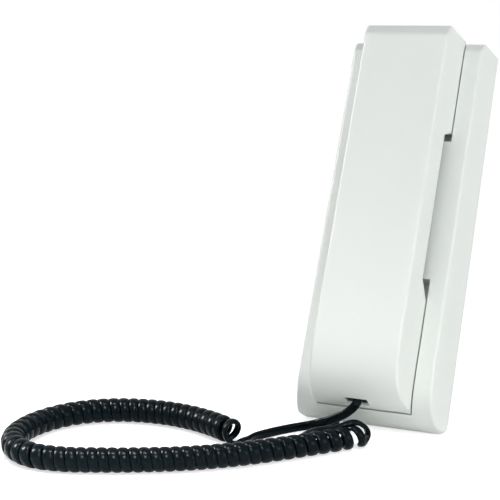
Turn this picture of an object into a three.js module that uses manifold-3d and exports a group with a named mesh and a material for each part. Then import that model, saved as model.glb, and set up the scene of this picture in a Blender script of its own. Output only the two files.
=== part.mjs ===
// Slimline wall phone: a slim handset lies in two pockets of a wall base, and a flat
// lead and a long curly cord join them, laid out on the surface in front of the base.
// Millimetres, +Z up. The origin is the middle of the base's wall face, where a wall
// or a leaning panel holds it.
import * as THREE from "three";
import { mergeVertices } from "three/addons/utils/BufferGeometryUtils.js";
import Module from "manifold-3d";

const wasm = await Module();
wasm.setup();

// ------------------------------------------------------------------ driving sizes
// Fits
const SEAT = 0.3; // between pieces that rest on each other
const SLIDE = 0.4; // round a piece that slides

// How the base hangs
const WALL_LEAN = 24.8; // degrees that the wall face leans back from upright
const FACE_TAPER = 1.0; // degrees that the front face leans back further

// Base cover
const BASE_HEIGHT = 210;
const BASE_WALL_WIDTH = 81.6;
const BASE_FACE_WIDTH = 72.8;
const BASE_DEPTH = 25.1; // face to wall at the lower edge
const BASE_SHELL = 2.2;
const BASE_BEVEL_RISE = 5.7;
const BASE_BEVEL_RUN = 3.7;
const FOOT_CURVE_RISE = 22;
const FOOT_CURVE_RUN = 21.1;
const FOOT_CORNER = 4.5; // radius of the two lower corners, seen from the front
const EDGE_ROUND = 1.0; // the long front edges

// Pockets that take the handset's two ends
const POCKET_DEPTH = 10;
const POCKET_DRAFT = 1.5;
const PARTING_GAP = 0.6; // the dark line round the handset
const EAR_POCKET_LENGTH = 58; // down from the base's top
const MOUTH_POCKET_TOP = 76;
const MOUTH_POCKET_FOOT = 5.6;

// Handset
const HANDSET_FACE_WIDTH = 46.4;
const HANDSET_ROOT_WIDTH = 52.7; // where it meets the base's face
const HANDSET_PROUD = 22.8;
const HANDSET_OVERHANG = 0.4; // above the base's top
const HANDSET_SHELL = 2.0;
const HANDSET_BEVEL_RISE = 6.5;
const HANDSET_BEVEL_RUN = 3.7;
const FINGER_GAP = 7; // between the handle and the base
const EAR_FOOT_RISE = 4.2; // ear end above its pocket's foot
const EAR_FOOT_SLOPE = 3.4;
const MOUTH_TOP_DROP = 10; // mouth end below its pocket's top
const MOUTH_TOP_SLOPE = 8.2;
const CHIN_RISE = 38; // where the face starts to curve under
const CHIN_REACH = 6.4; // how far the curve runs into the pocket

// Receiver, microphone and ballast in the handset
const EARPIECE_DROP = 27; // below the base's top
const EARPIECE_RADIUS = 16.5;
const EARPIECE_THICKNESS = 9.5;
const GASKET_THICKNESS = 1.2;
const GRILLE_HOLE_RADIUS = 1.1;
const GRILLE_PITCH = 4.4;
const MIC_HEIGHT = 42;
const MIC_RADIUS = 4.9;
const MIC_LENGTH = 6.4;
const MIC_BOOT_WALL = 2.0;
const WEIGHT_WIDTH = 30;
const WEIGHT_END_GAP = 2; // to the screw posts
const WEIGHT_THICKNESS = 4;
const RETAINER_WALL = 1.4;
const EAR_RETAINER_HEIGHT = 4;
const MIC_RETAINER_HEIGHT = 5;
const HANDSET_SCREW_RISE = 14; // lower screw above the mouth end
const HANDSET_SCREW_DROP = 9.2; // upper screw below the ear end

// Modular socket and plug in the handset's chin
const SOCKET_OFFSET = -0.8; // to the left of the middle
const SOCKET_MOUTH_WIDTH = 12;
const SOCKET_MOUTH_FRONT = -6.0;
const PLUG_WIDTH = 9.6;
const PLUG_DEPTH = 5.2;
const PLUG_LENGTH = 13.5;
const PLUG_HEEL = 8.9; // its cord end, above the base's lower edge
const PLUG_TAIL = 3.2; // the cord's crimped end, down to where the free lead starts
const PLUG_CONTACTS = 4;
const PLUG_CONTACT_PITCH = 1.63;
const PLUG_CONTACT_WIDTH = 0.6;
const LATCH_WIDTH = 3.2;
const LATCH_THICKNESS = 0.9;
const JACK_WALL = 1.2;
const JACK_LENGTH = 15;

// Screws
const SCREW_HEAD_RADIUS = 2.6;
const SCREW_HEAD_THICKNESS = 1.7;
const SCREW_SHANK_RADIUS = 1.4;
const HANDSET_SCREW_LENGTH = 9.5;
const COVER_SCREW_LENGTH = 12;
const POST_RADIUS = 3.1;
const COVER_SCREW_OFFSET = 31.4;
const COVER_SCREW_RISE = 26; // lower pair, above the base's lower edge
const COVER_SCREW_DROP = 18; // upper pair, below its top

// Back plate
const PLATE_THICKNESS = 2.4;
const PLATE_BOSS_RADIUS = 4.4;
const PLATE_BOSS_HEIGHT = 1.8;
const KEYHOLE_INSET = 34; // from the base's lower edge and from its top
const KEYHOLE_RADIUS = 4.6;
const KEYHOLE_NECK = 4.8;
const KEYHOLE_RUN = 8.5;
const WINDOW_WIDTH = 30;
const WINDOW_DROP = 59; // its foot, below the base's top
const WINDOW_HEIGHT = 16;
const PLATE_RIB_THICKNESS = 1.4;
const PLATE_RIB_HEIGHT = 1.6;

// Circuit board and what is on it
const BOARD_WIDTH = 60;
const BOARD_FOOT_GAP = 4; // above the mouth pocket's top
const BOARD_TOP_GAP = 6; // below the ear pocket's foot
const BOARD_THICKNESS = 1.6;
const BOARD_STANDOFF = 4;
const PEG_RADIUS = 1.2;
const STANDOFF_RADIUS = 2.6;
const PEG_INSET = 4.5;
const TERMINAL_WAYS = 5;
const TERMINAL_PITCH = 5.08;
const TERMINAL_DEPTH = 8;
const TERMINAL_HEIGHT = 7.4;
const TERMINAL_INSET = 2; // from the board's top
const TERMINAL_BORE = 1.5;
const TERMINAL_BORE_DROP = 3.4;
// Parts on the board, each with its rise above the board's middle
const CHIP = { x: -21.5, rise: 7, width: 11, tall: 16, high: 3.2 };
const RECTIFIER = { x: 22, rise: -17, width: 10, tall: 8, high: 4 };
const CAPACITORS = [
  { x: 22, rise: -1, radius: 4, high: 7 },
  { x: 22, rise: 10, radius: 3.2, high: 6 },
];

// Sounder behind the bridge
const SOUNDER_PLACE = 22 / 76; // up the bridge between the pockets
const SOUNDER_RADIUS = 12.5;
const SOUNDER_THICKNESS = 6.5;
const SOUND_SLOTS = 5;
const SOUND_SLOT_WIDTH = 1.6;
const SOUND_SLOT_LENGTH = 14;
const SOUND_SLOT_PITCH = 3.6;

// Call button under the handle
const BUTTON_PLACE = 51 / 76; // up the bridge between the pockets
const BUTTON_WIDTH = 12.6;
const BUTTON_TALL = 8.6;
const BUTTON_PROUD = 2.2;
const BUTTON_FLANGE = 1.7;
const BUTTON_FLANGE_THICKNESS = 1.2;
const BUTTON_STEM_RADIUS = 2.0;
const BUTTON_TRAVEL = 1.4;
const BUTTON_SWITCH_SIZE = 4.4;
const BUTTON_SWITCH_HEIGHT = 2.2;
const BUTTON_SPRING_RADIUS = 4.5;
const BUTTON_SPRING_CURLS = 5;

// Hook plunger in the mouth pocket
const HOOK_HEIGHT = 56;
const HOOK_RADIUS = 4;
const HOOK_TRAVEL = 3.5;
const HOOK_FLANGE_RADIUS = 6;
const HOOK_FLANGE_THICKNESS = 1.2;
const HOOK_STEM_RADIUS = 1.5;
const HOOK_ARM_LENGTH = 13;
const HOOK_ARM_WIDTH = 4;
const HOOK_GUIDE_WALL = 1.2;
const HOOK_SPRING_RADIUS = 4.4;
const HOOK_SPRING_CURLS = 3;
const HOOK_SWITCH_WIDTH = 7;
const HOOK_SWITCH_TALL = 7;
const SPRING_WIRE = 0.7;

// Cord
const CORD_WIDTH = 4.6;
const CORD_THICKNESS = 2.3;
const COIL_CORD_WIDTH = 4.0; // as wound, where each turn is drawn thin
const COIL_RADIUS_PHONE = 5.85; // outside, at the end by the base
const COIL_RADIUS_FAR = 6.6; // outside, at its far end
const COIL_TAIL = 4.2; // straight on from each end of the winding
const COIL_CURLS = 61;
const STEPS_PER_CURL = 8;
const COIL_SIDES = 5;
const BUSHING_WALL = 0.9;
const BUSHING_COLLAR = 1.1; // how far its collar stands out, behind the cover
const BUSHING_COLLAR_THICKNESS = 1.2;
const BUSHING_PROUD = 0.7;

// Middle line of the coil, laid flat from its end by the base to its far end, with
// the base's lower back edge as the origin.
const COIL_ROUTE = [
  [6.2, -34.6],
  [1, -42],
  [-13.5, -59.5],
  [-27, -74.8],
  [-41, -88.5],
  [-56.5, -100.6],
  [-74.5, -111.3],
  [-94, -120.6],
  [-111.5, -127.2],
  [-127.8, -128.4],
  [-141.8, -121.9],
  [-150.8, -109],
  [-153.4, -92.4],
  [-150.4, -76],
  [-142.4, -61.7],
  [-130.3, -51.5],
  [-116, -45.6],
  [-100, -43.6],
  [-84, -45.5],
  [-69.5, -50.3],
  [-58.5, -55.8],
  [-51.4, -59.6],
];

// How its turns spread out and close up, as [mm along the route, mm to the next turn].
const COIL_SPACING = [
  [0, 8.2],
  [9, 6.9],
  [60, 5.6],
  [85, 4.9],
  [150, 4.9],
  [170, 6.1],
  [246, 6.2],
  [262, 5.5],
  [290, 4.9],
  [322, 5.6],
  [338, 7],
  [350, 10],
];

// The flat lead from the coil's far end up to the handset's plug.
const HANDSET_LEAD_ROUTE = [
  [-49.1, -55.4, 2.4],
  [-48, -53.2, 2.4],
  [-46.3, -49.4, 2.4],
  [-42.8, -42.1, 2.4],
  [-39, -35.4, 2.4],
  [-35, -29.4, 2.4],
  [-31.6, -25, 2.4],
  [-28.1, -22.1, 2.7],
  [-24.5, -21.2, 3.7],
  [-21.2, -21.2, 4.9],
  [-17.8, -21.5, 6.2],
  [-14.4, -21.9, 7.5],
  [-11.1, -21.8, 8.8],
  [-8, -21.6, 10.3],
  [-4.9, -22, 12.1],
  [-2.5, -23.1, 13.4],
  [-1, -23.6, 15.2],
  [-0.8, -22.8, 17],
];

// The lead from the coil's near end: up behind its last turn, along the top of the
// turns, down behind them and under the handset's lead into the base's foot.
const BASE_LEAD_ROUTE = [
  [0.8, -30.8, 5.8],
  [-0.4, -30, 7.4],
  [-1.8, -31.2, 9.8],
  [-3, -35.2, 11.7],
  [-4, -41.3, 12],
  [-7.8, -46.2, 12],
  [-12.6, -50, 11.2],
  [-18.2, -51.9, 8],
  [-22.5, -49, 4.5],
  [-24.5, -43, 2.2],
  [-24, -35, 1.3],
  [-22, -26, 1.3],
  [-19.5, -17, 1.3],
  [-17, -11, 2.3],
  [-17, -6.9, 3.8],
  [-17, -4.1, 4.8],
];
const LEAD_STEPS = 22;
const BASE_LEAD_STEPS = 32;

// ------------------------------------------------------------------ worked-out sizes
const taper = THREE.MathUtils.degToRad(FACE_TAPER);
const wallDepthAt = (height) => BASE_DEPTH - height * Math.tan(taper);
const mountHeight = BASE_HEIGHT / 2;
const earPocketFoot = BASE_HEIGHT - EAR_POCKET_LENGTH;
const bridge = earPocketFoot - MOUTH_POCKET_TOP;
const sounderHeight = MOUTH_POCKET_TOP + bridge * SOUNDER_PLACE;
const buttonHeight = MOUTH_POCKET_TOP + bridge * BUTTON_PLACE;
const earpieceHeight = BASE_HEIGHT - EARPIECE_DROP;
const coverScrewHeights = [COVER_SCREW_RISE, BASE_HEIGHT - COVER_SCREW_DROP];
const keyholeHeights = [KEYHOLE_INSET, BASE_HEIGHT - KEYHOLE_INSET];
const windowFoot = BASE_HEIGHT - WINDOW_DROP;
const boardFoot = MOUTH_POCKET_TOP + BOARD_FOOT_GAP;
const boardTop = earPocketFoot - BOARD_TOP_GAP;
const boardMiddle = (boardFoot + boardTop) / 2;
const handsetTop = BASE_HEIGHT + HANDSET_OVERHANG;
const pocketHalf = HANDSET_ROOT_WIDTH / 2 + PARTING_GAP;
const blockDepth = POCKET_DEPTH - SEAT;
const earFoot = earPocketFoot + EAR_FOOT_RISE;
const mouthTop = MOUTH_POCKET_TOP - MOUTH_TOP_DROP;
const handsetScrewHeights = [mouthTop + HANDSET_SCREW_RISE, earFoot - HANDSET_SCREW_DROP];
const chinHeight = MOUTH_POCKET_FOOT + PARTING_GAP;
const handsetInside = -HANDSET_PROUD + HANDSET_SHELL;
const capFloor = blockDepth - HANDSET_SHELL; // inside of the ear and mouth caps
const handleBack = -FINGER_GAP;
const rim = SEAT; // where the two handset shells part
const pocketFloorBack = POCKET_DEPTH + BASE_SHELL;
const handsetPostRadius = POST_RADIUS + 0.4;
const screwPilot = SCREW_SHANK_RADIUS + SEAT;
const screwSink = SCREW_HEAD_RADIUS + SEAT;
const boardFront = -(PLATE_THICKNESS + BOARD_STANDOFF + BOARD_THICKNESS);
const baseDraft = (BASE_WALL_WIDTH - BASE_FACE_WIDTH) / 2 / BASE_DEPTH;
const baseHalfAt = (depth) => BASE_FACE_WIDTH / 2 + baseDraft * depth;
const plateFront = wallDepthAt(BASE_HEIGHT) - PLATE_THICKNESS;
const plateHalf = baseHalfAt(plateFront) - BASE_SHELL - SLIDE;
const plateFoot = BASE_SHELL + SLIDE;
const plateTop = BASE_HEIGHT - BASE_SHELL - SLIDE;

// ------------------------------------------------------------------ colours
const finish = (color, roughness, metalness = 0) =>
  new THREE.MeshStandardMaterial({ color, roughness, metalness });
const shellWhite = () => finish("#e6ebe8", 0.42);
const innerWhite = () => finish("#d9dedb", 0.55);
const clearPlastic = () => finish("#b9bfc0", 0.15);
const cordBlack = () => finish("#14181c", 0.25);
const darkPlastic = () => finish("#24282b", 0.5);
const steel = () => finish("#b4b8ba", 0.3, 0.9);
const boardGreen = () => finish("#1f5a3c", 0.5);
const rubberGrey = () => finish("#5a5f62", 0.8);

// ------------------------------------------------------------------ frames
// The table group has the base's lower back edge as its origin. The wall group leans
// back from it, and the face group lies on the base's front face inside that.
const root = new THREE.Group();
const table = new THREE.Group();
const lean = THREE.MathUtils.degToRad(WALL_LEAN);
table.position.set(0, -mountHeight * Math.sin(lean), -mountHeight * Math.cos(lean));
root.add(table);
const wall = new THREE.Group();
wall.rotation.x = -lean;
table.add(wall);
const face = new THREE.Group();
face.rotation.x = -taper;
face.position.set(0, -BASE_DEPTH * Math.cos(taper), BASE_DEPTH * Math.sin(taper));
wall.add(face);
face.updateMatrix();
wall.updateMatrix();
const wallToFace = face.matrix.clone().invert();
const tableToFace = wallToFace.clone().multiply(wall.matrix.clone().invert());

// ------------------------------------------------------------------ solids
// A three.js geometry as a closed solid, moved by a matrix where one is given.
function solid(geometry, matrix) {
  const plain = geometry.index ? geometry.toNonIndexed() : geometry.clone();
  plain.deleteAttribute("normal");
  plain.deleteAttribute("uv");
  if (matrix) plain.applyMatrix4(matrix);
  const merged = mergeVertices(plain, 1e-4);
  return new wasm.Manifold(
    new wasm.Mesh({
      numProp: 3,
      vertProperties: merged.attributes.position.array,
      triVerts: new Uint32Array(merged.index.array),
    }),
  );
}
const join = (...solids) => solids.reduce((a, b) => a.add(b));
const cut = (body, ...tools) => tools.reduce((a, b) => a.subtract(b), body);

function geometryOf(body) {
  const mesh = body.getMesh();
  return new THREE.BufferGeometry()
    .setAttribute("position", new THREE.BufferAttribute(mesh.vertProperties, 3))
    .setIndex(new THREE.BufferAttribute(mesh.triVerts, 1));
}

function addPiece(group, name, body, material) {
  const geometry = body.isBufferGeometry ? body : geometryOf(body);
  const piece = new THREE.Mesh(geometry, material);
  piece.name = name;
  group.add(piece);
}

// A block between two corners.
function block([x0, x1], [y0, y1], [z0, z1], matrix) {
  const box = new THREE.BoxGeometry(x1 - x0, y1 - y0, z1 - z0);
  box.translate((x0 + x1) / 2, (y0 + y1) / 2, (z0 + z1) / 2);
  return solid(box, matrix);
}

// A round bar along Y, through x and z.
function bar(radius, y0, y1, x, z, sides = 16, matrix) {
  const rod = new THREE.CylinderGeometry(radius, radius, y1 - y0, sides);
  rod.translate(x, (y0 + y1) / 2, z);
  return solid(rod, matrix);
}

// A side outline in Y and Z, run across the phone.
const ACROSS = new THREE.Matrix4().makeBasis(
  new THREE.Vector3(0, 1, 0),
  new THREE.Vector3(0, 0, 1),
  new THREE.Vector3(1, 0, 0),
);
function sideProfile(points, half) {
  const shape = new THREE.Shape(points.map(([y, z]) => new THREE.Vector2(y, z)));
  const run = new THREE.ExtrudeGeometry(shape, { depth: 2 * half, bevelEnabled: false });
  run.translate(0, 0, -half);
  return solid(run, ACROSS);
}

// A symmetric plan outline, given by its right side as [half width, y], run upwards.
function plan(rightSide, z0, z1) {
  const left = rightSide.map(([x, y]) => [-x, y]).reverse();
  const points = [...rightSide, ...left].map(([x, y]) => new THREE.Vector2(x, y));
  const run = new THREE.ExtrudeGeometry(new THREE.Shape(points), {
    depth: z1 - z0,
    bevelEnabled: false,
  });
  run.translate(0, 0, z0);
  return solid(run);
}

// A closed outline, counter-clockwise, with each edge moved inwards by what
// distanceAt says for its middle point.
function inset(points, distanceAt) {
  const edges = points.map((a, i) => {
    const b = points[(i + 1) % points.length];
    const length = Math.hypot(b[0] - a[0], b[1] - a[1]);
    const along = [(b[0] - a[0]) / length, (b[1] - a[1]) / length];
    const distance = distanceAt((a[0] + b[0]) / 2, (a[1] + b[1]) / 2);
    return { from: [a[0] - along[1] * distance, a[1] + along[0] * distance], along };
  });
  return edges.map((edge, i) => {
    const before = edges[(i + edges.length - 1) % edges.length];
    const turn = before.along[0] * edge.along[1] - before.along[1] * edge.along[0];
    if (Math.abs(turn) < 1e-6) return edge.from;
    const gap = [edge.from[0] - before.from[0], edge.from[1] - before.from[1]];
    const reach = (gap[0] * edge.along[1] - gap[1] * edge.along[0]) / turn;
    return [
      before.from[0] + before.along[0] * reach,
      before.from[1] + before.along[1] * reach,
    ];
  });
}

// ------------------------------------------------------------------ base cover
function baseOutline() {
  const curve = [];
  const steps = 9;
  for (let i = 0; i <= steps; i++) {
    const turn = ((Math.PI / 2) * i) / steps;
    const y = FOOT_CURVE_RUN * (1 - Math.cos(turn));
    const z = FOOT_CURVE_RISE * (1 - Math.sin(turn));
    curve.push([y, z]);
  }
  return [
    ...curve,
    [BASE_DEPTH, 0],
    [wallDepthAt(BASE_HEIGHT), BASE_HEIGHT],
    [BASE_BEVEL_RUN, BASE_HEIGHT],
    [0, BASE_HEIGHT - BASE_BEVEL_RISE],
  ];
}

// What lies deeper than a depth inside the base's outline, open towards the wall.
function behindSkin(depth) {
  const isWall = (y, z) => y > wallDepthAt(z) - 0.05 && z > 1;
  const line = inset(baseOutline(), (y, z) => (isWall(y, z) ? -3 : depth));
  return sideProfile(line, BASE_WALL_WIDTH);
}

// The base's plan, drafted from the face to the wall, with its front edges eased.
function basePlan(thinner, z0, z1) {
  const halfAt = (y) => baseHalfAt(y) - thinner;
  return plan(
    [
      [halfAt(0) - EDGE_ROUND, -1],
      [halfAt(0) - EDGE_ROUND, 0],
      [halfAt(0) - 0.3 * EDGE_ROUND, 0.3 * EDGE_ROUND],
      [halfAt(EDGE_ROUND), EDGE_ROUND],
      [halfAt(BASE_DEPTH + 5), BASE_DEPTH + 5],
    ],
    z0,
    z1,
  );
}

// The base's front view with its lower corners rounded, in the wall group.
const FRONT_VIEW = new THREE.Matrix4().makeBasis(
  new THREE.Vector3(1, 0, 0),
  new THREE.Vector3(0, 0, 1),
  new THREE.Vector3(0, -1, 0),
);
function footCorners(thinner) {
  const half = BASE_WALL_WIDTH / 2 - thinner;
  const radius = FOOT_CORNER - thinner;
  const top = BASE_HEIGHT + BASE_SHELL;
  const shape = new THREE.Shape()
    .moveTo(half, top)
    .lineTo(-half, top)
    .lineTo(-half, thinner + radius)
    .absarc(-half + radius, thinner + radius, radius, Math.PI, 1.5 * Math.PI)
    .absarc(half - radius, thinner + radius, radius, -0.5 * Math.PI, 0);
  const run = new THREE.ExtrudeGeometry(shape, {
    depth: 2 * BASE_DEPTH,
    bevelEnabled: false,
    curveSegments: 5,
  });
  run.translate(0, 0, -BASE_DEPTH / 2);
  return solid(run, FRONT_VIEW);
}

function pocket(grow, foot, top) {
  const halfAt = (y) => pocketHalf + grow - (POCKET_DRAFT * y) / POCKET_DEPTH;
  const floor = POCKET_DEPTH + grow;
  return plan(
    [
      [halfAt(-2), -2],
      [halfAt(floor), floor],
    ],
    foot - grow,
    top + grow,
  );
}

function coverPosts() {
  const posts = [];
  for (const height of coverScrewHeights)
    for (const side of [-1, 1])
      posts.push({ x: side * COVER_SCREW_OFFSET, z: height });
  return posts;
}

function baseCover() {
  const corners = (thinner) => footCorners(thinner).transform(wallToFace.elements);
  const outside = sideProfile(baseOutline(), BASE_WALL_WIDTH)
    .intersect(basePlan(0, -1, BASE_HEIGHT + 1))
    .intersect(corners(0));
  const inside = behindSkin(BASE_SHELL)
    .intersect(basePlan(BASE_SHELL, -1, BASE_HEIGHT + 1))
    .intersect(corners(BASE_SHELL));
  const earTop = BASE_HEIGHT + 5;
  const trays = join(
    pocket(BASE_SHELL, earPocketFoot, earTop),
    pocket(BASE_SHELL, MOUTH_POCKET_FOOT, MOUTH_POCKET_TOP),
  ).intersect(outside);
  let shell = join(cut(outside, inside), trays);

  // Posts that the cover screws bite into, from the face's back to the plate's bosses.
  const postEnd = -(PLATE_THICKNESS + PLATE_BOSS_HEIGHT + SEAT);
  for (const { x, z } of coverPosts()) {
    const front = BASE_SHELL - 0.5 - wallDepthAt(z);
    shell = join(shell, bar(POST_RADIUS, front, postEnd, x, z, 12, wallToFace));
  }
  // The ring that holds the sounder.
  const ringOut = bar(
    SOUNDER_RADIUS + SEAT + RETAINER_WALL,
    BASE_SHELL - 0.2,
    BASE_SHELL + 4,
    0,
    sounderHeight,
    28,
  );
  const ringIn = bar(SOUNDER_RADIUS + SEAT, BASE_SHELL, BASE_SHELL + 5, 0, sounderHeight, 28);
  shell = join(shell, cut(ringOut, ringIn));

  const tools = [
    pocket(0, earPocketFoot, earTop),
    pocket(0, MOUTH_POCKET_FOOT, MOUTH_POCKET_TOP),
    bar(HOOK_RADIUS + SLIDE, POCKET_DEPTH - 1, pocketFloorBack + 1, 0, HOOK_HEIGHT, 16),
    block(
      [-BUTTON_WIDTH / 2 - SLIDE, BUTTON_WIDTH / 2 + SLIDE],
      [-1, BASE_SHELL + 1],
      [buttonHeight - BUTTON_TALL / 2 - SLIDE, buttonHeight + BUTTON_TALL / 2 + SLIDE],
    ),
    bushingCore(BUSHING_WALL + SEAT),
  ];
  for (const { x, z } of coverPosts()) {
    const end = postEnd - COVER_SCREW_LENGTH;
    tools.push(bar(screwPilot, end, 0, x, z, 10, wallToFace));
  }
  for (let i = 0; i < SOUND_SLOTS; i++) {
    const z = sounderHeight + (i - (SOUND_SLOTS - 1) / 2) * SOUND_SLOT_PITCH;
    tools.push(
      block(
        [-SOUND_SLOT_LENGTH / 2, SOUND_SLOT_LENGTH / 2],
        [-1, BASE_SHELL + 1],
        [z - SOUND_SLOT_WIDTH / 2, z + SOUND_SLOT_WIDTH / 2],
      ),
    );
  }
  return cut(shell, ...tools);
}

// ------------------------------------------------------------------ back plate
// Built in the wall group: its wall face is y = 0 and the front is -y.
function keyhole(height) {
  const neck = KEYHOLE_NECK / 2;
  return join(
    bar(KEYHOLE_RADIUS, -6, 1, 0, height, 20),
    block([-neck, neck], [-6, 1], [height, height + KEYHOLE_RUN]),
    bar(neck, -6, 1, 0, height + KEYHOLE_RUN, 16),
  );
}

function boardPegs() {
  const pegs = [];
  for (const side of [-1, 1])
    for (const z of [boardFoot + PEG_INSET, boardTop - PEG_INSET])
      pegs.push({ x: side * (BOARD_WIDTH / 2 - PEG_INSET), z });
  return pegs;
}

function backPlate() {
  let plate = block([-plateHalf, plateHalf], [-PLATE_THICKNESS, 0], [plateFoot, plateTop])
    .intersect(footCorners(BASE_SHELL + SLIDE));
  const front = -PLATE_THICKNESS;
  const ribFront = front - PLATE_RIB_HEIGHT;
  for (const side of [-1, 1]) {
    const edge = side * (plateHalf - 3);
    const rib = [Math.min(edge, edge - side * PLATE_RIB_THICKNESS)];
    rib.push(rib[0] + PLATE_RIB_THICKNESS);
    plate = join(plate, block(rib, [ribFront, front + 0.5], [coverScrewHeights[0] + 8, plateTop - 24]));
  }
  for (const { x, z } of coverPosts())
    plate = join(plate, bar(PLATE_BOSS_RADIUS, front - PLATE_BOSS_HEIGHT, front + 0.5, x, z, 16));
  for (const { x, z } of boardPegs()) {
    const shoulder = front - BOARD_STANDOFF + SEAT;
    plate = join(
      plate,
      bar(STANDOFF_RADIUS, shoulder, front + 0.5, x, z, 12),
      bar(PEG_RADIUS, boardFront - 1.5, front, x, z, 10),
    );
  }
  // The guide that the hook plunger's stem slides in.
  const hook = hookPlaces();
  plate = join(
    plate,
    bar(hook.guideRadius, hook.guideFront, front + 0.5, 0, hook.wallHeight, 16),
  );
  const tools = [
    bar(HOOK_STEM_RADIUS + SLIDE, hook.guideFront - 1, front, 0, hook.wallHeight, 12),
    ...keyholeHeights.map(keyhole),
    block(
      [-WINDOW_WIDTH / 2, WINDOW_WIDTH / 2],
      [-6, 1],
      [windowFoot, windowFoot + WINDOW_HEIGHT],
    ),
  ];
  for (const { x, z } of coverPosts()) {
    tools.push(bar(screwSink, -SCREW_HEAD_THICKNESS - 2 * SEAT, 1, x, z, 16));
    tools.push(bar(screwPilot, -8, 1, x, z, 12));
  }
  return cut(plate, ...tools);
}

// A pan-head screw along Y: its head's top is at y = top, and it points to -y.
function screw(top, length, x, z) {
  return join(
    bar(SCREW_HEAD_RADIUS, top - SCREW_HEAD_THICKNESS, top, x, z, 16),
    bar(SCREW_SHANK_RADIUS, top - length, top - SCREW_HEAD_THICKNESS + 0.2, x, z, 12),
  );
}

// ------------------------------------------------------------------ electronics
function circuitBoard() {
  const back = boardFront + BOARD_THICKNESS;
  const board = block(
    [-BOARD_WIDTH / 2, BOARD_WIDTH / 2],
    [boardFront, back],
    [boardFoot, boardTop],
  );
  const holes = boardPegs().map(({ x, z }) =>
    bar(PEG_RADIUS + SEAT, boardFront - 1, back + 1, x, z, 10),
  );
  // A speech circuit, a bridge rectifier and two capacitors, soldered to its front.
  const seat = boardFront + 0.2;
  const parts = [CHIP, RECTIFIER].map(({ x, rise, width, tall, high }) =>
    block(
      [x - width / 2, x + width / 2],
      [boardFront - high, seat],
      [boardMiddle + rise - tall / 2, boardMiddle + rise + tall / 2],
    ),
  );
  for (const { x, rise, radius, high } of CAPACITORS)
    parts.push(bar(radius, boardFront - high, seat, x, boardMiddle + rise, 14));
  return cut(join(board, ...parts), ...holes);
}

function terminalBlock() {
  const half = (TERMINAL_WAYS * TERMINAL_PITCH) / 2;
  const top = boardTop - TERMINAL_INSET;
  const seat = boardFront - SEAT;
  const front = seat - TERMINAL_HEIGHT;
  const body = block([-half, half], [front, seat], [top - TERMINAL_DEPTH, top]);
  const tools = [];
  for (let i = 0; i < TERMINAL_WAYS; i++) {
    const x = (i - (TERMINAL_WAYS - 1) / 2) * TERMINAL_PITCH;
    tools.push(bar(TERMINAL_BORE, front - 1, front + 2, x, top - TERMINAL_BORE_DROP, 10));
    const wireHole = [x - TERMINAL_BORE, x + TERMINAL_BORE];
    tools.push(block(wireHole, [seat - 3 * TERMINAL_BORE, seat - TERMINAL_BORE], [top - 2.5, top + 1]));
  }
  return cut(body, ...tools);
}

function sounder() {
  const back = BASE_SHELL + SEAT;
  const body = bar(SOUNDER_RADIUS, back, back + SOUNDER_THICKNESS, 0, sounderHeight, 28);
  return cut(
    body,
    bar(2, back - 1, back + 1, 0, sounderHeight, 12),
    bar(
      SOUNDER_RADIUS - 3,
      back + SOUNDER_THICKNESS - 1,
      back + SOUNDER_THICKNESS + 1,
      0,
      sounderHeight,
      20,
    ),
  );
}

// ------------------------------------------------------------------ hook switch
// The plunger's places, from the handset's rest position. Y is in the face group,
// apart from the guide's, which are in the wall group.
function hookPlaces() {
  const tip = POCKET_DEPTH;
  const flangeFront = pocketFloorBack + SEAT + HOOK_TRAVEL;
  const flangeBack = flangeFront + HOOK_FLANGE_THICKNESS;
  const plateFront = wallDepthAt(HOOK_HEIGHT) - PLATE_THICKNESS;
  const wallHeight = HOOK_HEIGHT / Math.cos(taper);
  return {
    tip,
    flangeFront,
    flangeBack,
    plateFront,
    wallHeight,
    guideRadius: HOOK_STEM_RADIUS + SLIDE + HOOK_GUIDE_WALL,
    guideFront: flangeBack + SEAT - wallDepthAt(HOOK_HEIGHT),
  };
}

function hookPlunger() {
  const { tip, flangeFront, flangeBack, plateFront } = hookPlaces();
  const dome = bar(HOOK_RADIUS - 0.8, tip, tip + 1, 0, HOOK_HEIGHT, 16);
  const arm = HOOK_ARM_WIDTH / 2;
  return join(
    dome,
    bar(HOOK_RADIUS, tip + 0.8, flangeFront + 0.2, 0, HOOK_HEIGHT, 16),
    bar(HOOK_FLANGE_RADIUS, flangeFront, flangeBack, 0, HOOK_HEIGHT, 20),
    block([0, HOOK_ARM_LENGTH], [flangeFront, flangeBack], [HOOK_HEIGHT - arm, HOOK_HEIGHT + arm]),
    bar(HOOK_STEM_RADIUS, flangeBack - 0.2, plateFront - SEAT, 0, HOOK_HEIGHT, 12),
  );
}

function hookSwitch() {
  const { flangeBack, plateFront } = hookPlaces();
  const middle = HOOK_ARM_LENGTH - 2;
  const inner = Math.max(middle - HOOK_SWITCH_WIDTH / 2, HOOK_FLANGE_RADIUS + 1);
  const body = block(
    [inner, inner + HOOK_SWITCH_WIDTH],
    [flangeBack + 2, plateFront - SEAT],
    [HOOK_HEIGHT - HOOK_SWITCH_TALL / 2, HOOK_HEIGHT + HOOK_SWITCH_TALL / 2],
  );
  return join(body, bar(1.4, flangeBack + SEAT, flangeBack + 2.2, middle, HOOK_HEIGHT, 10));
}

// A coil spring along Y between two planes, as one unbroken tube.
function springTube(radius, wire, curls, y0, y1, z) {
  const steps = curls * STEPS_PER_CURL;
  const first = y0 + wire / 2;
  const last = y1 - wire / 2;
  const rings = [];
  for (let i = 0; i <= steps; i++) {
    const turn = (2 * Math.PI * i) / STEPS_PER_CURL;
    const outward = new THREE.Vector3(Math.cos(turn), 0, Math.sin(turn));
    const centre = outward.clone().multiplyScalar(radius);
    centre.add(new THREE.Vector3(0, first + ((last - first) * i) / steps, z));
    rings.push({ centre, across: new THREE.Vector3(0, 1, 0), outward });
  }
  return tube(rings, wire, wire);
}

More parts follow.
